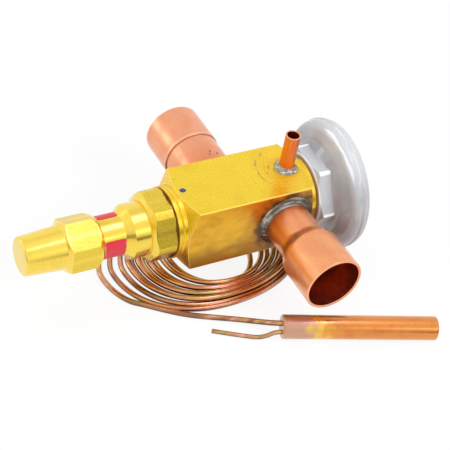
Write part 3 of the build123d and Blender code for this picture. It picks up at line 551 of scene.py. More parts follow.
dress(tube_copper("inlet_copper", "y", (INLET_X, 0.0, 0.0), SOCKET_BORE, INLET_MOUTH, HALF_BAR),
      "inlet_fitting")
dress(
    tube_copper("outlet_copper", "y", (OUTLET_X, 0.0, 0.0), SOCKET_BORE, -OUTLET_MOUTH, -HALF_BAR,
                skin=(248, 170, 114), warm=(244, 150, 98), neck=OUTLET_NECK),
    "outlet_fitting",
)
dress(
    tube_copper("equalizer_copper", "z", (EQUALIZER_X, 0.0, 0.0), EQUALIZER_BORE, EQUALIZER_TOP, HALF_BAR,
                skin=(238, 140, 68), warm=(232, 112, 42)),
    "equalizer_tube",
)
print("copper ends dressed")

# %% [markdown]
# The bulb is a closed copper tube. Its capillary end was heated to seal it, and shows the tints of
# thin oxide in their order: grey pink at the end, gold further on, then clean orange copper. The
# tints follow the bulb's own axis, so the finish first works out how far along it each place is.

# %% Heat-tinted copper of the bulb
BULB_START = Vector((32.3, -62.4, -29.65))
BULB_WAY = Vector((cos(radians(-20.55)), sin(radians(-20.55)), 0.0))


def bulb_copper():
    finish = Finish("bulb_copper", (228, 142, 58), 0.22, coat=0.8, coat_roughness=0.12)
    away = finish.vector("SUBTRACT", finish.place, BULB_START)
    along = finish.vector("DOT_PRODUCT", away, BULB_WAY)
    clouds = finish.noise(0.16, detail=4.0)
    reach = finish.math("MULTIPLY_ADD", clouds, 22.0, finish.math("SUBTRACT", along, 3.0))
    finish.tint((204, 112, 48), finish.patches(0.45, 0.7, 0.5, 0.1, detail=3.0, shift=(2.0, 8.0, 0.0)))
    finish.tint((236, 168, 62), finish.ramp(reach, 40.0, 28.0, 0.0, 0.7))
    finish.tint((244, 196, 84), finish.ramp(reach, 33.0, 27.0, 0.0, 0.8))
    finish.tint((204, 154, 130), finish.ramp(reach, 26.0, 19.0, 0.0, 0.9))
    finish.dull(0.45, finish.ramp(reach, 30.0, 20.0))
    # Painted shade: the bulb's underside darkens in clouds towards the table.
    low = finish.ramp(finish.z, -31.0, -35.0)
    finish.tint((150, 112, 84), low, finish.ramp(finish.noise(0.3, detail=4.0), 0.45, 0.65), 0.5)
    finish.tint((150, 92, 60), finish.specks(2.6, 0.3, 0.25), 0.6)
    pits = finish.times(finish.ramp(reach, 30.0, 22.0), finish.specks(1.9, 0.35, 0.5))
    finish.tint((250, 214, 196), pits, 0.6)
    finish.emboss(0.02, finish.noise(0.3, detail=3.0))
    finish.dull(0.3, finish.patches(0.5, 0.7, 0.5, 0.8, detail=4.0))
    return finish.done()


dress(bulb_copper(), "sensing_bulb")
print("bulb dressed")

# %% [markdown]
# Each turn of the capillary has its own colour, because the tube tarnished unevenly before it was
# wound: gold, orange, olive and brown follow each other along it. A pattern that changes quickly
# with the distance from the coil's middle, and slowly round it, gives each turn its own colour.

# %% Tarnished copper of the capillary
def capillary_copper():
    finish = Finish("capillary_copper", (206, 140, 92), 0.16, coat=1.0, coat_roughness=0.06)
    away = finish.vector("SUBTRACT", finish.place, (24.0, 10.0, 0.0))
    way = finish.vector("MULTIPLY", away, (0.8, 1.0, 0.0))
    radius = finish.vector("LENGTH", way)
    direction = finish.vector("NORMALIZE", way)
    polar = finish.vector("MULTIPLY", direction, (1.2, 1.2, 0.0))
    by_turn = finish.add("ShaderNodeCombineXYZ", {2: finish.times(radius, 0.24)}).outputs[0]
    turn_place = finish.vector("ADD", polar, by_turn)
    one = finish.noise(1.0, detail=1.0, place=turn_place)
    other = finish.noise(1.3, detail=1.0, place=turn_place, shift=(4.0, 7.0, 3.0))
    finish.tint((212, 164, 88), finish.ramp(one, 0.5, 0.62, 0.0, 0.85))
    finish.tint((136, 80, 46), finish.ramp(one, 0.46, 0.34, 0.0, 0.85))
    finish.tint((158, 144, 66), finish.ramp(other, 0.56, 0.66, 0.0, 0.7))
    finish.tint((236, 172, 140), finish.ramp(other, 0.42, 0.32, 0.0, 0.7))
    # Painted shade on the underside and sides of each strand.
    painted_shade_under = finish.ramp(finish.add("ShaderNodeSeparateXYZ", {0: finish.normal}).outputs[2], 0.45, -0.1)
    finish.tint((60, 36, 20), painted_shade_under, 0.88)
    finish.tint((120, 76, 44), finish.patches(0.5, 0.7, 0.3, 0.4, detail=4.0))
    # Painted shade on the turns that lie under the body.
    painted_shade_under_bar = finish.times(finish.ramp(finish.x, 38.0, 52.0), finish.ramp(finish.y, -8.0, 6.0),
                             finish.ramp(finish.x, 84.0, 76.0))
    finish.tint((70, 52, 36), painted_shade_under_bar, 0.8)
    finish.emboss(0.01, finish.noise(0.4, detail=2.0))
    return finish.done()


capillary_finish = capillary_copper()
for piece in (capillary, charge_tail):
    piece.data.materials.append(capillary_finish)
print("capillary dressed")

# %% [markdown]
# The element is pressed steel under pale grey lacquer: a soft, even grey, and over it a hard gloss
# that mirrors the lamps. So the base is dull and the coat is sharp. Painted light and shade go over
# the grey: lighter at the top, darker at the bottom and in the cove behind the hexagon, with painted
# highlights on the hexagon's corners and rear edge.

# %% Grey lacquer of the element
HEXAGON_CORNER = 23.85


def element_enamel():
    finish = Finish("element_enamel", (168, 170, 173), 0.45, metallic=0.0, coat=1.0, coat_roughness=0.03)
    finish.shader.inputs["Coat IOR"].default_value = 1.6
    finish.shader.inputs["Specular IOR Level"].default_value = 0.1
    clouds = finish.noise(0.1, detail=4.0)
    finish.tint((158, 157, 164), finish.ramp(clouds, 0.4, 0.7, 0.0, 0.5))
    # Painted light and shade: lighter towards the top, darker towards the bottom.
    finish.tint((200, 202, 203), finish.ramp(finish.z, 14.0, 36.0), 0.8)
    low = finish.ramp(finish.z, 12.0, -22.0)
    finish.tint((146, 132, 136), low, 0.7)
    finish.dull(0.5, finish.ramp(clouds, 0.35, 0.75))
    hexagon = finish.ramp(finish.x, 81.4, 80.6)
    grain = finish.noise(1.2, detail=4.0)
    finish.tint((186, 189, 193), hexagon, 0.7)
    finish.tint((172, 175, 182), hexagon, finish.ramp(grain, 0.4, 0.7), 0.4)
    # Painted highlights along the hexagon's corners and its rear edge.
    painted_corner_highlight = finish.ramp(finish.distance((0.0, 0.0, 0.0), "x"), HEXAGON_CORNER - 0.9,
                         HEXAGON_CORNER - 0.3)
    painted_rear_edge_highlight = finish.times(finish.ramp(finish.x, 73.2, 72.6),
                             finish.ramp(finish.distance((0.0, 0.0, 0.0), "x"), 20.3, 20.6))
    finish.tint((252, 253, 253), hexagon, finish.math("MAXIMUM", painted_corner_highlight, painted_rear_edge_highlight), 0.85)
    finish.emboss(0.01, grain, hexagon)
    finish.emboss(0.02, finish.noise(0.25, detail=2.0))
    # Painted shade in the cove behind the hexagon.
    painted_cove_shade = finish.times(finish.ramp(finish.x, 79.6, 81.0), finish.ramp(finish.x, 83.8, 82.4))
    finish.tint((138, 137, 142), painted_cove_shade, 0.5)
    finish.tint((150, 148, 148), finish.specks(6.0, 0.35, 0.14), 0.5)
    return finish.done()


dress(element_enamel(), "element_base", "element_cover", "rim_weld", "capillary_ferrule")
print("element dressed")

# %% [markdown]
# What sits inside is seen when the cap comes off, when the pin lifts, or through the copper ends.
# Steel parts are ground or drawn, the spring is oiled wire, the gaskets are soft copper washers
# and the stem's packing is grey graphite. Each gets its own grain and its own gloss.

# %% Finishes of the inner pieces
def inner_metal(name, color, dark, roughness, grain, stretch=(1.0, 1.0, 1.0), metallic=1.0):
    finish = Finish(name, color, roughness, metallic=metallic)
    marks = finish.noise(grain, stretch=stretch, detail=4.0)
    finish.tint(dark, finish.ramp(marks, 0.42, 0.7, 0.0, 0.7))
    finish.dull(min(1.0, roughness + 0.15), finish.ramp(marks, 0.4, 0.75))
    finish.tint(dark, finish.specks(3.0, 0.25, 0.2), 0.6)
    finish.emboss(0.02, marks)
    return finish.done()


stem_steel = inner_metal("stem_steel", (200, 198, 194), (150, 146, 140), 0.26, 2.4, (1.0, 0.1, 0.1))
dress(stem_steel, "adjusting_stem", "push_rods", "valve_pin", "valve_seat", "packing_washer")
dress(inner_metal("spring_wire", (136, 138, 142), (82, 80, 80), 0.3, 1.5), "superheat_spring")
dress(inner_metal("guide_brass", (226, 184, 84), (180, 132, 50), 0.28, 3.0, (1.0, 0.1, 0.1)),
      "lower_spring_guide", "pin_carrier", "buffer_plate")
dress(inner_metal("diaphragm_steel", (204, 204, 208), (160, 160, 166), 0.2, 0.8), "diaphragm")
dress(inner_metal("washer_copper", (196, 112, 66), (112, 58, 34), 0.34, 0.9), "element_gasket",
      "cap_gasket")
dress(inner_metal("tarnished_washer", (132, 92, 50), (74, 48, 28), 0.5, 0.9), "housing_gasket")
dress(inner_metal("graphite_packing", (72, 72, 74), (40, 40, 42), 0.6, 2.0, metallic=0.2), "stem_packing")
print("inner pieces dressed")

# %% [markdown]
# Three rings of braze metal hold the copper in the brass. The metal ran and froze, so the real
# rings are uneven: a hollow fillet with waves, ridges and a ragged foot. They follow a circle, so
# one Geometry Nodes tree makes all three. It bends a grid round the circle, reads the fillet's
# section from a profile, and pushes the visible part in and out with noise.

# %% A tree that pours a ring of braze metal
RING_COLUMNS, RING_ROWS = 261, 25
SEEN_SHARE = 0.74               # how much of the fillet's section can be seen


def tree_input(tree, name, kind, default=None):
    socket = tree.interface.new_socket(name=name, in_out="INPUT", socket_type=kind)
    if default is not None:
        socket.default_value = default


def node_maker(tree):
    """Function that adds a node to the tree and fills its sockets with values or links."""
    def add(kind, values=(), **settings):
        node = tree.nodes.new(kind)
        for setting, value in settings.items():
            setattr(node, setting, value)
        for socket, value in dict(values).items():
            if isinstance(value, bpy.types.NodeSocket):
                tree.links.new(value, node.inputs[socket])
            else:
                node.inputs[socket].default_value = value
        return node
    return add


def braze_tree():
    tree = bpy.data.node_groups.new("braze_ring", "GeometryNodeTree")
    for name, default in (("Tube radius", 0.012), ("Leg", 0.003), ("Height", 0.003), ("Waves", 0.0008),
                          ("Ridges", 0.0004), ("Seed", 1.0)):
        tree_input(tree, name, "NodeSocketFloat", default)
    tree_input(tree, "Metal", "NodeSocketMaterial")
    tree.interface.new_socket(name="Geometry", in_out="OUTPUT", socket_type="NodeSocketGeometry")
    add = node_maker(tree)

    def math(operation, *values):
        return add("ShaderNodeMath", enumerate(values), operation=operation).outputs[0]

    sizes = add("NodeGroupInput").outputs
    grid = add("GeometryNodeMeshGrid", {"Size X": 1.0, "Size Y": 1.0, "Vertices X": RING_COLUMNS,
                                        "Vertices Y": RING_ROWS})
    place = add("ShaderNodeSeparateXYZ", {0: add("GeometryNodeInputPosition").outputs[0]}).outputs
    angle = math("MULTIPLY", place[0], 2 * pi)
    share = math("ADD", place[1], 0.5)
    outward = add("ShaderNodeFloatCurve", {"Value": share})
    upward = add("ShaderNodeFloatCurve", {"Value": share})
    section = ((0.0, 1.0, 0.0), (0.12, 0.86, 0.14), (0.28, 0.55, 0.36), (0.45, 0.27, 0.6),
               (0.6, 0.1, 0.84),
               (0.7, 0.02, 1.0), (0.78, 0.0, 0.9), (0.9, 0.0, 0.0), (1.0, 1.0, 0.0))
    for curve, column in ((outward, 1), (upward, 2)):
        points = curve.mapping.curves[0].points
        for row in section[1:-1]:
            points.new(row[0], row[column])
        points[0].location = (0.0, section[0][column])
        points[-1].location = (1.0, section[-1][column])
        for point in points:
            point.handle_type = "VECTOR"
        curve.mapping.update()
    cosine, sine = math("COSINE", angle), math("SINE", angle)
    seat = add("ShaderNodeCombineXYZ", {0: cosine, 1: sine, 2: math("MULTIPLY", share, 0.8)}).outputs[0]
    waves = add("ShaderNodeTexNoise", {"Vector": seat, "W": sizes["Seed"], "Scale": 2.6, "Detail": 3.0},
                noise_dimensions="4D").outputs[0]
    sharp = add("ShaderNodeCombineXYZ", {0: math("MULTIPLY", cosine, 9.0), 1: math("MULTIPLY", sine, 9.0),
                                         2: share}).outputs[0]
    ridges = add("ShaderNodeTexNoise", {"Vector": sharp, "W": sizes["Seed"], "Scale": 1.7, "Detail": 2.0},
                 noise_dimensions="4D").outputs[0]
    seen = math("LESS_THAN", share, SEEN_SHARE)
    swell = math("MULTIPLY", math("MULTIPLY", math("SUBTRACT", waves, 0.46), sizes["Waves"]), 5.0)
    swell = math("ADD", swell, math("MULTIPLY",
                                    math("MULTIPLY", math("SUBTRACT", ridges, 0.5),
                                         sizes["Ridges"]), 4.0))
    swell = math("MULTIPLY", swell, seen)
    foot = math("SUBTRACT", 1.0, math("MULTIPLY", share, 1.2))
    reach = math("MULTIPLY_ADD", outward.outputs[0], sizes["Leg"], sizes["Tube radius"])
    reach = math("MAXIMUM", math("MULTIPLY_ADD", swell, foot, reach), sizes["Tube radius"])
    rise = math("MULTIPLY", upward.outputs[0], sizes["Height"])
    above = math("GREATER_THAN", rise, 0.0001)
    rise = math("MAXIMUM", math("MULTIPLY_ADD", math("MULTIPLY", swell, 0.6), above, rise), 0.0)
    ring_x, ring_y = math("MULTIPLY", cosine, reach), math("MULTIPLY", sine, reach)
    ring_place = add("ShaderNodeCombineXYZ", {0: ring_x, 1: ring_y, 2: rise}).outputs[0]
    bent = add("GeometryNodeSetPosition", {"Geometry": grid.outputs["Mesh"], "Position": ring_place})
    joined = add("GeometryNodeMergeByDistance", {"Geometry": bent.outputs[0], "Distance": 0.00001})
    smooth = add("GeometryNodeSetShadeSmooth", {"Geometry": joined.outputs[0]})
    metal = add("GeometryNodeSetMaterial", {"Geometry": smooth.outputs[0], "Material": sizes["Metal"]})
    ready = add("NodeGroupOutput")
    tree.links.new(metal.outputs[0], ready.inputs[0])
    return tree


def grown(name, tree, values, turn=Matrix(), source=None):
    """Plain mesh object from a Geometry Nodes tree, with its inputs given by name."""
    holder = placed(name + "_source", source or bpy.data.meshes.new(name + "_source"))
    modifier = holder.modifiers.new("grow", "NODES")
    modifier.node_group = tree
    for socket in tree.interface.items_tree:
        if socket.in_out == "INPUT" and socket.name in values:
            modifier[socket.identifier] = values[socket.name]
    mesh = bpy.data.meshes.new_from_object(holder.evaluated_get(bpy.context.evaluated_depsgraph_get()))
    bpy.data.objects.remove(holder)
    mesh.name = name
    mesh.transform(turn)
    work = bmesh.new()
    work.from_mesh(mesh)
    bmesh.ops.recalc_face_normals(work, faces=work.faces)
    work.to_mesh(mesh)
    work.free()
    return placed(name, mesh)


pour = braze_tree()
print("tree", pour.name, "inputs", [s.name for s in pour.interface.items_tree if s.in_out == "INPUT"])

# %% [markdown]
# Braze metal is a silver alloy: bright where it froze clean, grey and sooty where flux burnt on it.
# The bright streaks run up and down the fillet, the way the metal ran.

# %% Silver braze
def braze_silver(name, clean, sooty, axis, centre):
    """Braze metal round a joint: streaks run round the ring, teeth run out from it low on the left."""
    finish = Finish(name, clean, 0.3)
    spread = [0.0 if axis == letter else 1.0 for letter in "xyz"]
    away = finish.vector("SUBTRACT", finish.place, centre)
    away = finish.vector("MULTIPLY", away, spread)
    radius = finish.vector("LENGTH", away)
    way = finish.vector("NORMALIZE", away)
    depth = finish.vector("DOT_PRODUCT", finish.place, [1.0 - s for s in spread])
    outward = finish.add("ShaderNodeCombineXYZ", {0: radius, 1: depth}).outputs[0]
    round_ring = finish.vector("MULTIPLY_ADD", way, (1.6, 1.6, 1.6), outward)
    streaks = finish.noise(1.1, detail=3.0, place=round_ring)
    teeth = finish.noise(9.0, detail=2.0, place=way)
    low_left = finish.ramp(finish.vector("DOT_PRODUCT", way, (-0.7, 0.0, -0.7)), 0.4, 0.8)
    finish.tint(sooty, finish.ramp(streaks, 0.62, 0.42))
    finish.tint(sooty, low_left, finish.ramp(teeth, 0.56, 0.46))
    finish.tint((112, 98, 84), finish.patches(0.5, 0.66, 0.6, 0.35, detail=3.0, shift=(3.0, 3.0, 3.0)))
    finish.dull(0.52, finish.ramp(streaks, 0.6, 0.4))
    finish.emboss(0.08, streaks)
    finish.emboss(0.25, teeth, low_left)
    return finish.done()


TO_FRONT = Matrix.Rotation(pi / 2, 4, "X")
TO_REAR = Matrix.Rotation(-pi / 2, 4, "X")


def poured(name, node, middle, turn, radius, leg, height, waves, ridges, seed, metal):
    ring = grown(
        name, pour,
        {"Tube radius": radius * MM, "Leg": leg * MM, "Height": height * MM, "Waves": waves * MM,
         "Ridges": ridges * MM, "Seed": seed, "Metal": metal},
        Matrix.Translation(at(*middle)) @ turn,
    )
    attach(ring, "valve")
    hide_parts(node)
    print(name, "faces", len(ring.data.polygons), "size in mm",
          [round(side / MM, 1) for side in ring.dimensions])


outlet_silver = braze_silver("outlet_silver", (180, 172, 162), (104, 94, 80), "y", (OUTLET_X, 0.0, 0.0))
inlet_silver = braze_silver("inlet_silver", (214, 210, 200), (128, 120, 108), "y", (INLET_X, 0.0, 0.0))
equalizer_silver = braze_silver("equalizer_silver", (232, 228, 216), (156, 146, 124), "z",
                                (EQUALIZER_X, 0.0, 0.0))
poured("outlet_bead", "outlet_braze", (OUTLET_X, -HALF_BAR, 0.0), TO_FRONT, OUTLET_NECK_R, 3.1, 3.0, 0.35,
       0.03, 3.0, outlet_silver)
poured("inlet_bead", "inlet_braze", (INLET_X, HALF_BAR, 0.0), TO_REAR, INLET_NECK_R, 1.8, 1.9, 0.25, 0.12,
       7.0, inlet_silver)
poured("equalizer_bead", "equalizer_braze", (EQUALIZER_X, 0.0, HALF_BAR), Matrix(), EQUALIZER_R, 2.3, 2.5,
       0.4, 0.02, 5.0,
       equalizer_silver)

# %% [markdown]
# Beads of metal and flux spat out of the joints and froze on the copper and the brass. A second
# tree scatters them over a patch of surface: points at random, a small flattened ball on each,
# turned to face out of the surface. The same tree serves a flat ring on the body and a
# sleeve on a tube; only the patch and the sizes differ.

# %% A tree that scatters spatter
PATCH_STEPS = 48


def spatter_tree():
    tree = bpy.data.node_groups.new("spatter", "GeometryNodeTree")
    tree_input(tree, "Patch", "NodeSocketGeometry")
    for name, default in (("Beads per square metre", 30000.0), ("Smallest", 0.0001), ("Largest", 0.0005)):
        tree_input(tree, name, "NodeSocketFloat", default)
    tree_input(tree, "Seed", "NodeSocketInt", 1)
    tree_input(tree, "Metal", "NodeSocketMaterial")
    tree.interface.new_socket(name="Geometry", in_out="OUTPUT", socket_type="NodeSocketGeometry")
    add = node_maker(tree)
    sizes = add("NodeGroupInput").outputs
    points = add("GeometryNodeDistributePointsOnFaces", {
        "Mesh": sizes["Patch"], "Density": sizes["Beads per square metre"], "Seed": sizes["Seed"],
    })
    ball = add("GeometryNodeMeshIcoSphere", {"Radius": 1.0, "Subdivisions": 2})
    size = add("FunctionNodeRandomValue", {2: sizes["Smallest"], 3: sizes["Largest"],
                                           "Seed": sizes["Seed"]},
               data_type="FLOAT")
    flat = add("ShaderNodeVectorMath", {0: (1.0, 1.2, 0.55), "Scale": size.outputs[1]}, operation="SCALE")
    beads = add("GeometryNodeInstanceOnPoints", {
        "Points": points.outputs["Points"], "Instance": ball.outputs["Mesh"],
        "Rotation": points.outputs["Rotation"], "Scale": flat.outputs[0],
    })
    real = add("GeometryNodeRealizeInstances", {"Geometry": beads.outputs[0]})
    smooth = add("GeometryNodeSetShadeSmooth", {"Geometry": real.outputs[0]})
    metal = add("GeometryNodeSetMaterial", {"Geometry": smooth.outputs[0], "Material": sizes["Metal"]})
    ready = add("NodeGroupOutput")
    tree.links.new(metal.outputs[0], ready.inputs[0])
    return tree


def band(start_radius, start_height, end_radius, end_height, first=0.0, last=360.0):
    """Patch between two circles, or between two arcs of them, facing away from the axis or up."""
    work = bmesh.new()
    columns = [radians(first + (last - first) * step / PATCH_STEPS) for step in range(PATCH_STEPS + 1)]
    rows = [[work.verts.new((radius * cos(a) * MM, radius * sin(a) * MM, height * MM)) for a in columns]
            for radius, height in ((start_radius, start_height), (end_radius, end_height))]
    for left in range(PATCH_STEPS):
        work.faces.new((rows[0][left], rows[0][left + 1], rows[1][left + 1], rows[1][left]))
    return mesh_from(work, "patch")


spit = spatter_tree()
for name, middle, turn, patch, density, largest, seed, metal in (
    ("outlet_spatter", (OUTLET_X, -HALF_BAR, 0.0), TO_FRONT, band(17.6, 0.0, 15.6, 0.0), 230000, 0.34, 4,
     outlet_silver),
    ("inlet_neck_spatter", (INLET_X, HALF_BAR, 0.0), TO_REAR,
     band(INLET_NECK_R, 1.5, INLET_NECK_R, 9.0, 215.0, 285.0), 30000, 0.85, 6, inlet_silver),
    ("equalizer_spatter", (EQUALIZER_X, 0.0, HALF_BAR), Matrix(), band(9.5, 0.0, 6.6, 0.0), 130000, 0.22,
     9, equalizer_silver),
):
    spots = grown(name, spit, {"Beads per square metre": float(density), "Smallest": 0.1 * MM,
                               "Largest": largest * MM,
                               "Seed": seed, "Metal": metal},
                  Matrix.Translation(at(*middle)) @ turn, patch)
    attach(spots, "valve")
    print(name, "faces", len(spots.data.polygons))

# %% Three larger beads on the inlet neck
work = bmesh.new()
for place, size in (((30.4, 28.2, 15.1), 0.65), ((33.7, 26.3, 14.4), 0.5), ((36.9, 24.6, 13.0), 0.4)):
    bmesh.ops.create_icosphere(work, subdivisions=3, radius=size * MM,
                               matrix=Matrix.Translation(at(*place)))
for face in work.faces:
    face.smooth = True
beads = placed("inlet_beads", mesh_from(work, "inlet_beads"))
beads.data.materials.append(outlet_silver)
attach(beads, "valve")
print("larger beads", len(beads.data.polygons), "faces")

# %% [markdown]
# The band round the neck is a strip of red film, with rounded corners and an edge that stands up a
# hair. It is left bare. A strip on a cylinder is a grid in angle and length, so its corners are
# rounded while the grid is still flat, and each row keeps its own start and end.

# %% Red film round the neck
NECK_R = 11.0
FILM_T = 0.16
FILM_FROM, FILM_SWEEP = 150.0, 293.0
FILM_START, FILM_END = -46.0, -34.8
FILM_MIDDLE = (FILM_START + FILM_END) / 2
FILM_CORNER = 1.8
FILM_COLUMNS = 240


def film_mesh():
    half = (FILM_END - FILM_START) / 2
    work = bmesh.new()
    sections = []
    long = radians(FILM_SWEEP) * NECK_R
    for step in range(FILM_COLUMNS + 1):
        travel = long * step / FILM_COLUMNS
        from_end = min(travel, long - travel)
        inset = 0.0
        if from_end < FILM_CORNER:
            inset = FILM_CORNER - (FILM_CORNER**2 - (FILM_CORNER - from_end) ** 2) ** 0.5
        reach = half - min(inset, FILM_CORNER * 0.98)
        lift = 0.02 + 0.05 * noise.noise(Vector((travel * 0.35, 0, 0)))
        angle = radians(FILM_FROM) + travel / NECK_R
        loop = []
        for radius in (NECK_R, NECK_R + FILM_T):
            for share in (-1.0, -0.5, 0.0, 0.5, 1.0) if radius == NECK_R else (1.0, 0.5, 0.0, -0.5, -1.0):
                r = radius + (lift if abs(share) == 1.0 and radius > NECK_R else 0.0)
                place = at(FILM_MIDDLE + share * reach, r * cos(angle), r * sin(angle))
                loop.append(work.verts.new(place))
        sections.append(loop)
    for one, two in zip(sections, sections[1:]):
        for i in range(len(one)):
            j = (i + 1) % len(one)
            work.faces.new((one[i], one[j], two[j], two[i]))
    work.faces.new(sections[0])
    work.faces.new(sections[-1])
    bmesh.ops.recalc_face_normals(work, faces=work.faces)
    return mesh_from(work, "label_film")


def film_red():
    finish = Finish("film_red", (204, 22, 46), 0.4, metallic=0.0, coat=0.3, coat_roughness=0.3)
    around = finish.noise(0.3, detail=3.0)
    finish.tint((216, 48, 66), finish.ramp(around, 0.45, 0.7, 0.0, 0.4))
    ends = finish.ramp(finish.math("ABSOLUTE", finish.math("SUBTRACT", finish.x, FILM_MIDDLE)), 5.1, 5.5)
    finish.tint((240, 130, 140), ends, 0.5)
    finish.dull(0.5, finish.ramp(finish.noise(0.8, detail=4.0), 0.4, 0.7))
    finish.emboss(0.04, finish.noise(0.5, detail=3.0))
    return finish.done()


film = placed("label_film", film_mesh())
film.data.materials.append(film_red())
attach(film, "valve")
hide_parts("label_band")
print("film faces", len(film.data.polygons))

# %% [markdown]
# A tester leaves one drop of blue lacquer on the body once the valve has passed. It dried as a flat
# dome with an uneven outline and a lighter middle.

# %% Drop of blue lacquer
DROP = (-0.2, 0.6, HALF_BAR - 0.01)
DROP_R, DROP_HEIGHT = 1.75, 0.09
DROP_SIDES = 48


def drop_mesh(centre, radius, thick):
    work = bmesh.new()
    rings = []
    for share, level in ((1.0, 0.0), (0.92, 0.55), (0.7, 0.9), (0.35, 1.0)):
        ring = []
        for step in range(DROP_SIDES):
            angle = 2 * pi * step / DROP_SIDES
            uneven = 1 + 0.12 * noise.noise(Vector((cos(angle) * 1.3, sin(angle) * 1.3, 4.0)))
            r = radius * share * uneven
            ring.append(work.verts.new(at(centre[0] + r * cos(angle), centre[1] + r * sin(angle) * 0.94,
                                          centre[2] + thick * level)))
        rings.append(ring)
    for outer, inner in zip(rings, rings[1:]):
        for i in range(DROP_SIDES):
            j = (i + 1) % DROP_SIDES
            work.faces.new((outer[i], outer[j], inner[j], inner[i]))
    work.faces.new(rings[-1])
    work.faces.new(rings[0])
    bmesh.ops.recalc_face_normals(work, faces=work.faces)
    return mesh_from(work, "lacquer_drop")


def lacquer_blue(centre):
    finish = Finish("lacquer_blue", (18, 30, 96), 0.4, metallic=0.0, coat=0.3, coat_roughness=0.2)
    away = finish.distance(centre, "z")
    finish.tint((34, 66, 160), finish.ramp(away, 1.2, 0.3, 0.0, 0.8))
    finish.tint((12, 22, 70), finish.patches(0.45, 0.7, 0.4, 1.6, detail=3.0))
    finish.emboss(0.02, finish.noise(1.2, detail=2.0))
    return finish.done()


drop = placed("lacquer_drop", drop_mesh(DROP, DROP_R, DROP_HEIGHT))
drop.data.materials.append(lacquer_blue(DROP))
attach(drop, "valve")
print("drop of lacquer", len(drop.data.polygons), "faces")

# %% [markdown]
# The floor is a plain pale sheet. Seen by the camera it is nearly white and only keeps the soft
# contact shadow; for the light that bounces, it is an ordinary pale surface.

# %% Floor
FLOOR_GREY, FLOOR_KEEP = 0.86, 0.88
FLOOR_HALF = 3.0


def seen_directly(tree):
    """1 for camera, glossy and transmission rays, 0 for the rays that carry soft light."""
    path = tree.nodes.new("ShaderNodeLightPath")
    value = path.outputs["Is Camera Ray"]
    for ray in ("Is Glossy Ray", "Is Transmission Ray"):
        higher = tree.nodes.new("ShaderNodeMath")
        higher.operation = "MAXIMUM"
        tree.links.new(value, higher.inputs[0])
        tree.links.new(path.outputs[ray], higher.inputs[1])
        value = higher.outputs[0]
    return value


def floor_material():
    material, tree, output = new_material("studio_floor")
    pale = tree.nodes.new("ShaderNodeBsdfDiffuse")
    pale.inputs["Color"].default_value = (FLOOR_GREY, FLOOR_GREY, FLOOR_GREY, 1)
    white = tree.nodes.new("ShaderNodeEmission")
    keep = tree.nodes.new("ShaderNodeMath")
    keep.operation = "MULTIPLY"
    keep.inputs[1].default_value = FLOOR_KEEP
    tree.links.new(seen_directly(tree), keep.inputs[0])
    mix = tree.nodes.new("ShaderNodeMixShader")
    tree.links.new(keep.outputs[0], mix.inputs[0])
    tree.links.new(pale.outputs[0], mix.inputs[1])
    tree.links.new(white.outputs[0], mix.inputs[2])
    tree.links.new(mix.outputs[0], output.inputs["Surface"])
    return material


floor_mesh = bpy.data.meshes.new("floor")
corners = [(x * FLOOR_HALF, y * FLOOR_HALF, 0) for x, y in ((-1, -1), (1, -1), (1, 1), (-1, 1))]
floor_mesh.from_pydata(corners, [], [(0, 1, 2, 3)])
floor = placed("floor", floor_mesh)
floor_mesh.materials.append(floor_material())
print("floor", floor_mesh.name)

# %% [markdown]
# Bright metal shows the room more than itself: on a turned part every pale or dark stripe is
# something that stands round the table. So the room is built for its reflections. White cards
# overhead draw the creamy stripe along every round part, lower ones in front and at the left draw
# the second one, and dark cards low down give the stripes something to end against. The high
# card is violet, because yellow brass and orange copper mirror that as cream. Only reflections
# see the cards: they throw no shadow.

# %% Cards for the reflections
DOME_R, DOME_Z = 0.75, 0.04
CARD_STEPS = 12


def on_dome(around, upward):
    """Place on a dome round the valve, in degrees; 0 is in front, along -Y, and 90 at the right."""
    flat, turn = DOME_R * cos(radians(upward)), radians(around)
    return Vector((flat * sin(turn), -flat * cos(turn), DOME_Z + DOME_R * sin(radians(upward))))


def card(name, around, upward, glow):
    """Glowing patch of the dome, between two angles round it and two upward."""
    material, tree, output = new_material(name)
    shine = tree.nodes.new("ShaderNodeEmission")
    shine.inputs["Color"].default_value = (*glow, 1)
    tree.links.new(shine.outputs[0], output.inputs["Surface"])
    work = bmesh.new()
    def spread(low, high):
        return [low + (high - low) * k / CARD_STEPS for k in range(CARD_STEPS + 1)]

    rows = [[on_dome(turn, up) for turn in spread(*around)] for up in spread(*upward)]
    rows = [[work.verts.new((p.x, p.y, max(p.z, 0.002))) for p in row] for row in rows]
    for low, high in zip(rows, rows[1:]):
        for k in range(CARD_STEPS):
            work.faces.new((low[k], low[k + 1], high[k + 1], high[k]))
    stand = placed(name, mesh_from(work, name))
    stand.data.materials.append(material)
    stand.visible_camera = stand.visible_diffuse = stand.visible_shadow = stand.visible_transmission = False


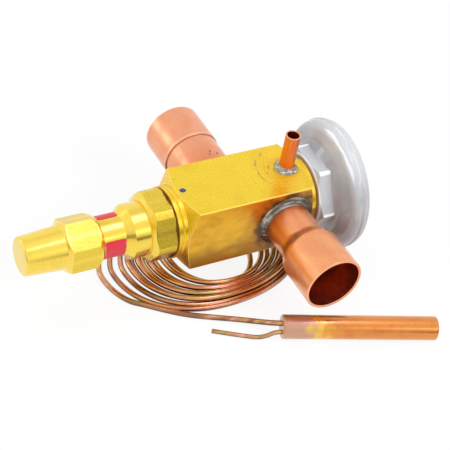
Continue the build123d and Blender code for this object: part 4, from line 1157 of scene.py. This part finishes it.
VIOLET, WHITE, DARK, GREY = (5.0, 3.8, 8.5), (2.1, 2.0, 2.4), (0.06, 0.05, 0.04), (0.86, 0.86, 0.86)
card("high_card", (8, 116), (68, 75), VIOLET)
card("front_card", (8, 44), (25, 36), WHITE)
card("left_card", (-118, -94), (14, 30), (1.8, 1.7, 1.9))
card("far_left_card", (-140, -130), (3, 24), (3.0, 2.8, 2.8))
card("dark_front_card", (6, 50), (-3, 10), DARK)
card("dark_left_card", (-86, -52), (-3, 9), DARK)
card("grey_back_card", (112, 176), (43, 64), GREY)

# %% [markdown]
# The light that falls on the parts is soft and plain: a white room, a wide softbox over the table
# and one at each side. Reflections do not see these lamps, because the cards already draw them.
# Two more lamps do the opposite: they stand on the dome at the left, and only brighten the gloss of
# the element, whose lacquer is the smoothest surface of all.

# %% Room and lamps
VALVE_MIDDLE = Vector((0.02, 0.0, 0.03))
ROOM_SOFT, ROOM_SEEN = 0.55, 1.0   # the white room as soft light, and as the eye and gloss see it
world = bpy.data.worlds.new("studio")
bpy.context.scene.world = world
world.use_nodes = True
sky = world.node_tree
background = sky.nodes["Background"]
strength = sky.nodes.new("ShaderNodeMapRange")
strength.inputs["To Min"].default_value = ROOM_SOFT
strength.inputs["To Max"].default_value = ROOM_SEEN
sky.links.new(seen_directly(sky), strength.inputs["Value"])
sky.links.new(strength.outputs[0], background.inputs["Strength"])
background.inputs["Color"].default_value = (1, 1, 1, 1)


def softbox(name, place, size, watts):
    """Rectangular lamp that faces the middle of the valve."""
    lamp = bpy.data.lights.new(name, "AREA")
    lamp.shape = "RECTANGLE"
    lamp.size, lamp.size_y = size
    lamp.energy = watts
    holder = placed(name, lamp)
    facing = (Vector(place) - VALVE_MIDDLE).to_track_quat("Z", "Y")
    holder.matrix_world = facing.to_matrix().to_4x4()
    holder.matrix_world.translation = Vector(place)
    holder.visible_glossy = False
    return holder


softbox("softbox_above", (-0.15, 0.35, 0.9), (0.9, 0.7), 3.4)
softbox("softbox_left", (-0.8, -0.3, 0.5), (0.5, 0.6), 2.5)
softbox("softbox_right", (0.45, -0.62, 0.68), (0.5, 0.3), 6)
glossy_parts = bpy.data.collections.new("glossy_parts")
for name in ("element_base", "element_cover", "rim_weld"):
    glossy_parts.objects.link(NODES[name])
for around, upward in ((-133, 38), (-66, 42)):
    pane = softbox("window_pane", on_dome(around, upward), (0.7, 0.45), 5)
    pane.visible_glossy, pane.visible_diffuse = True, False
    pane.light_linking.receiver_collection = glossy_parts
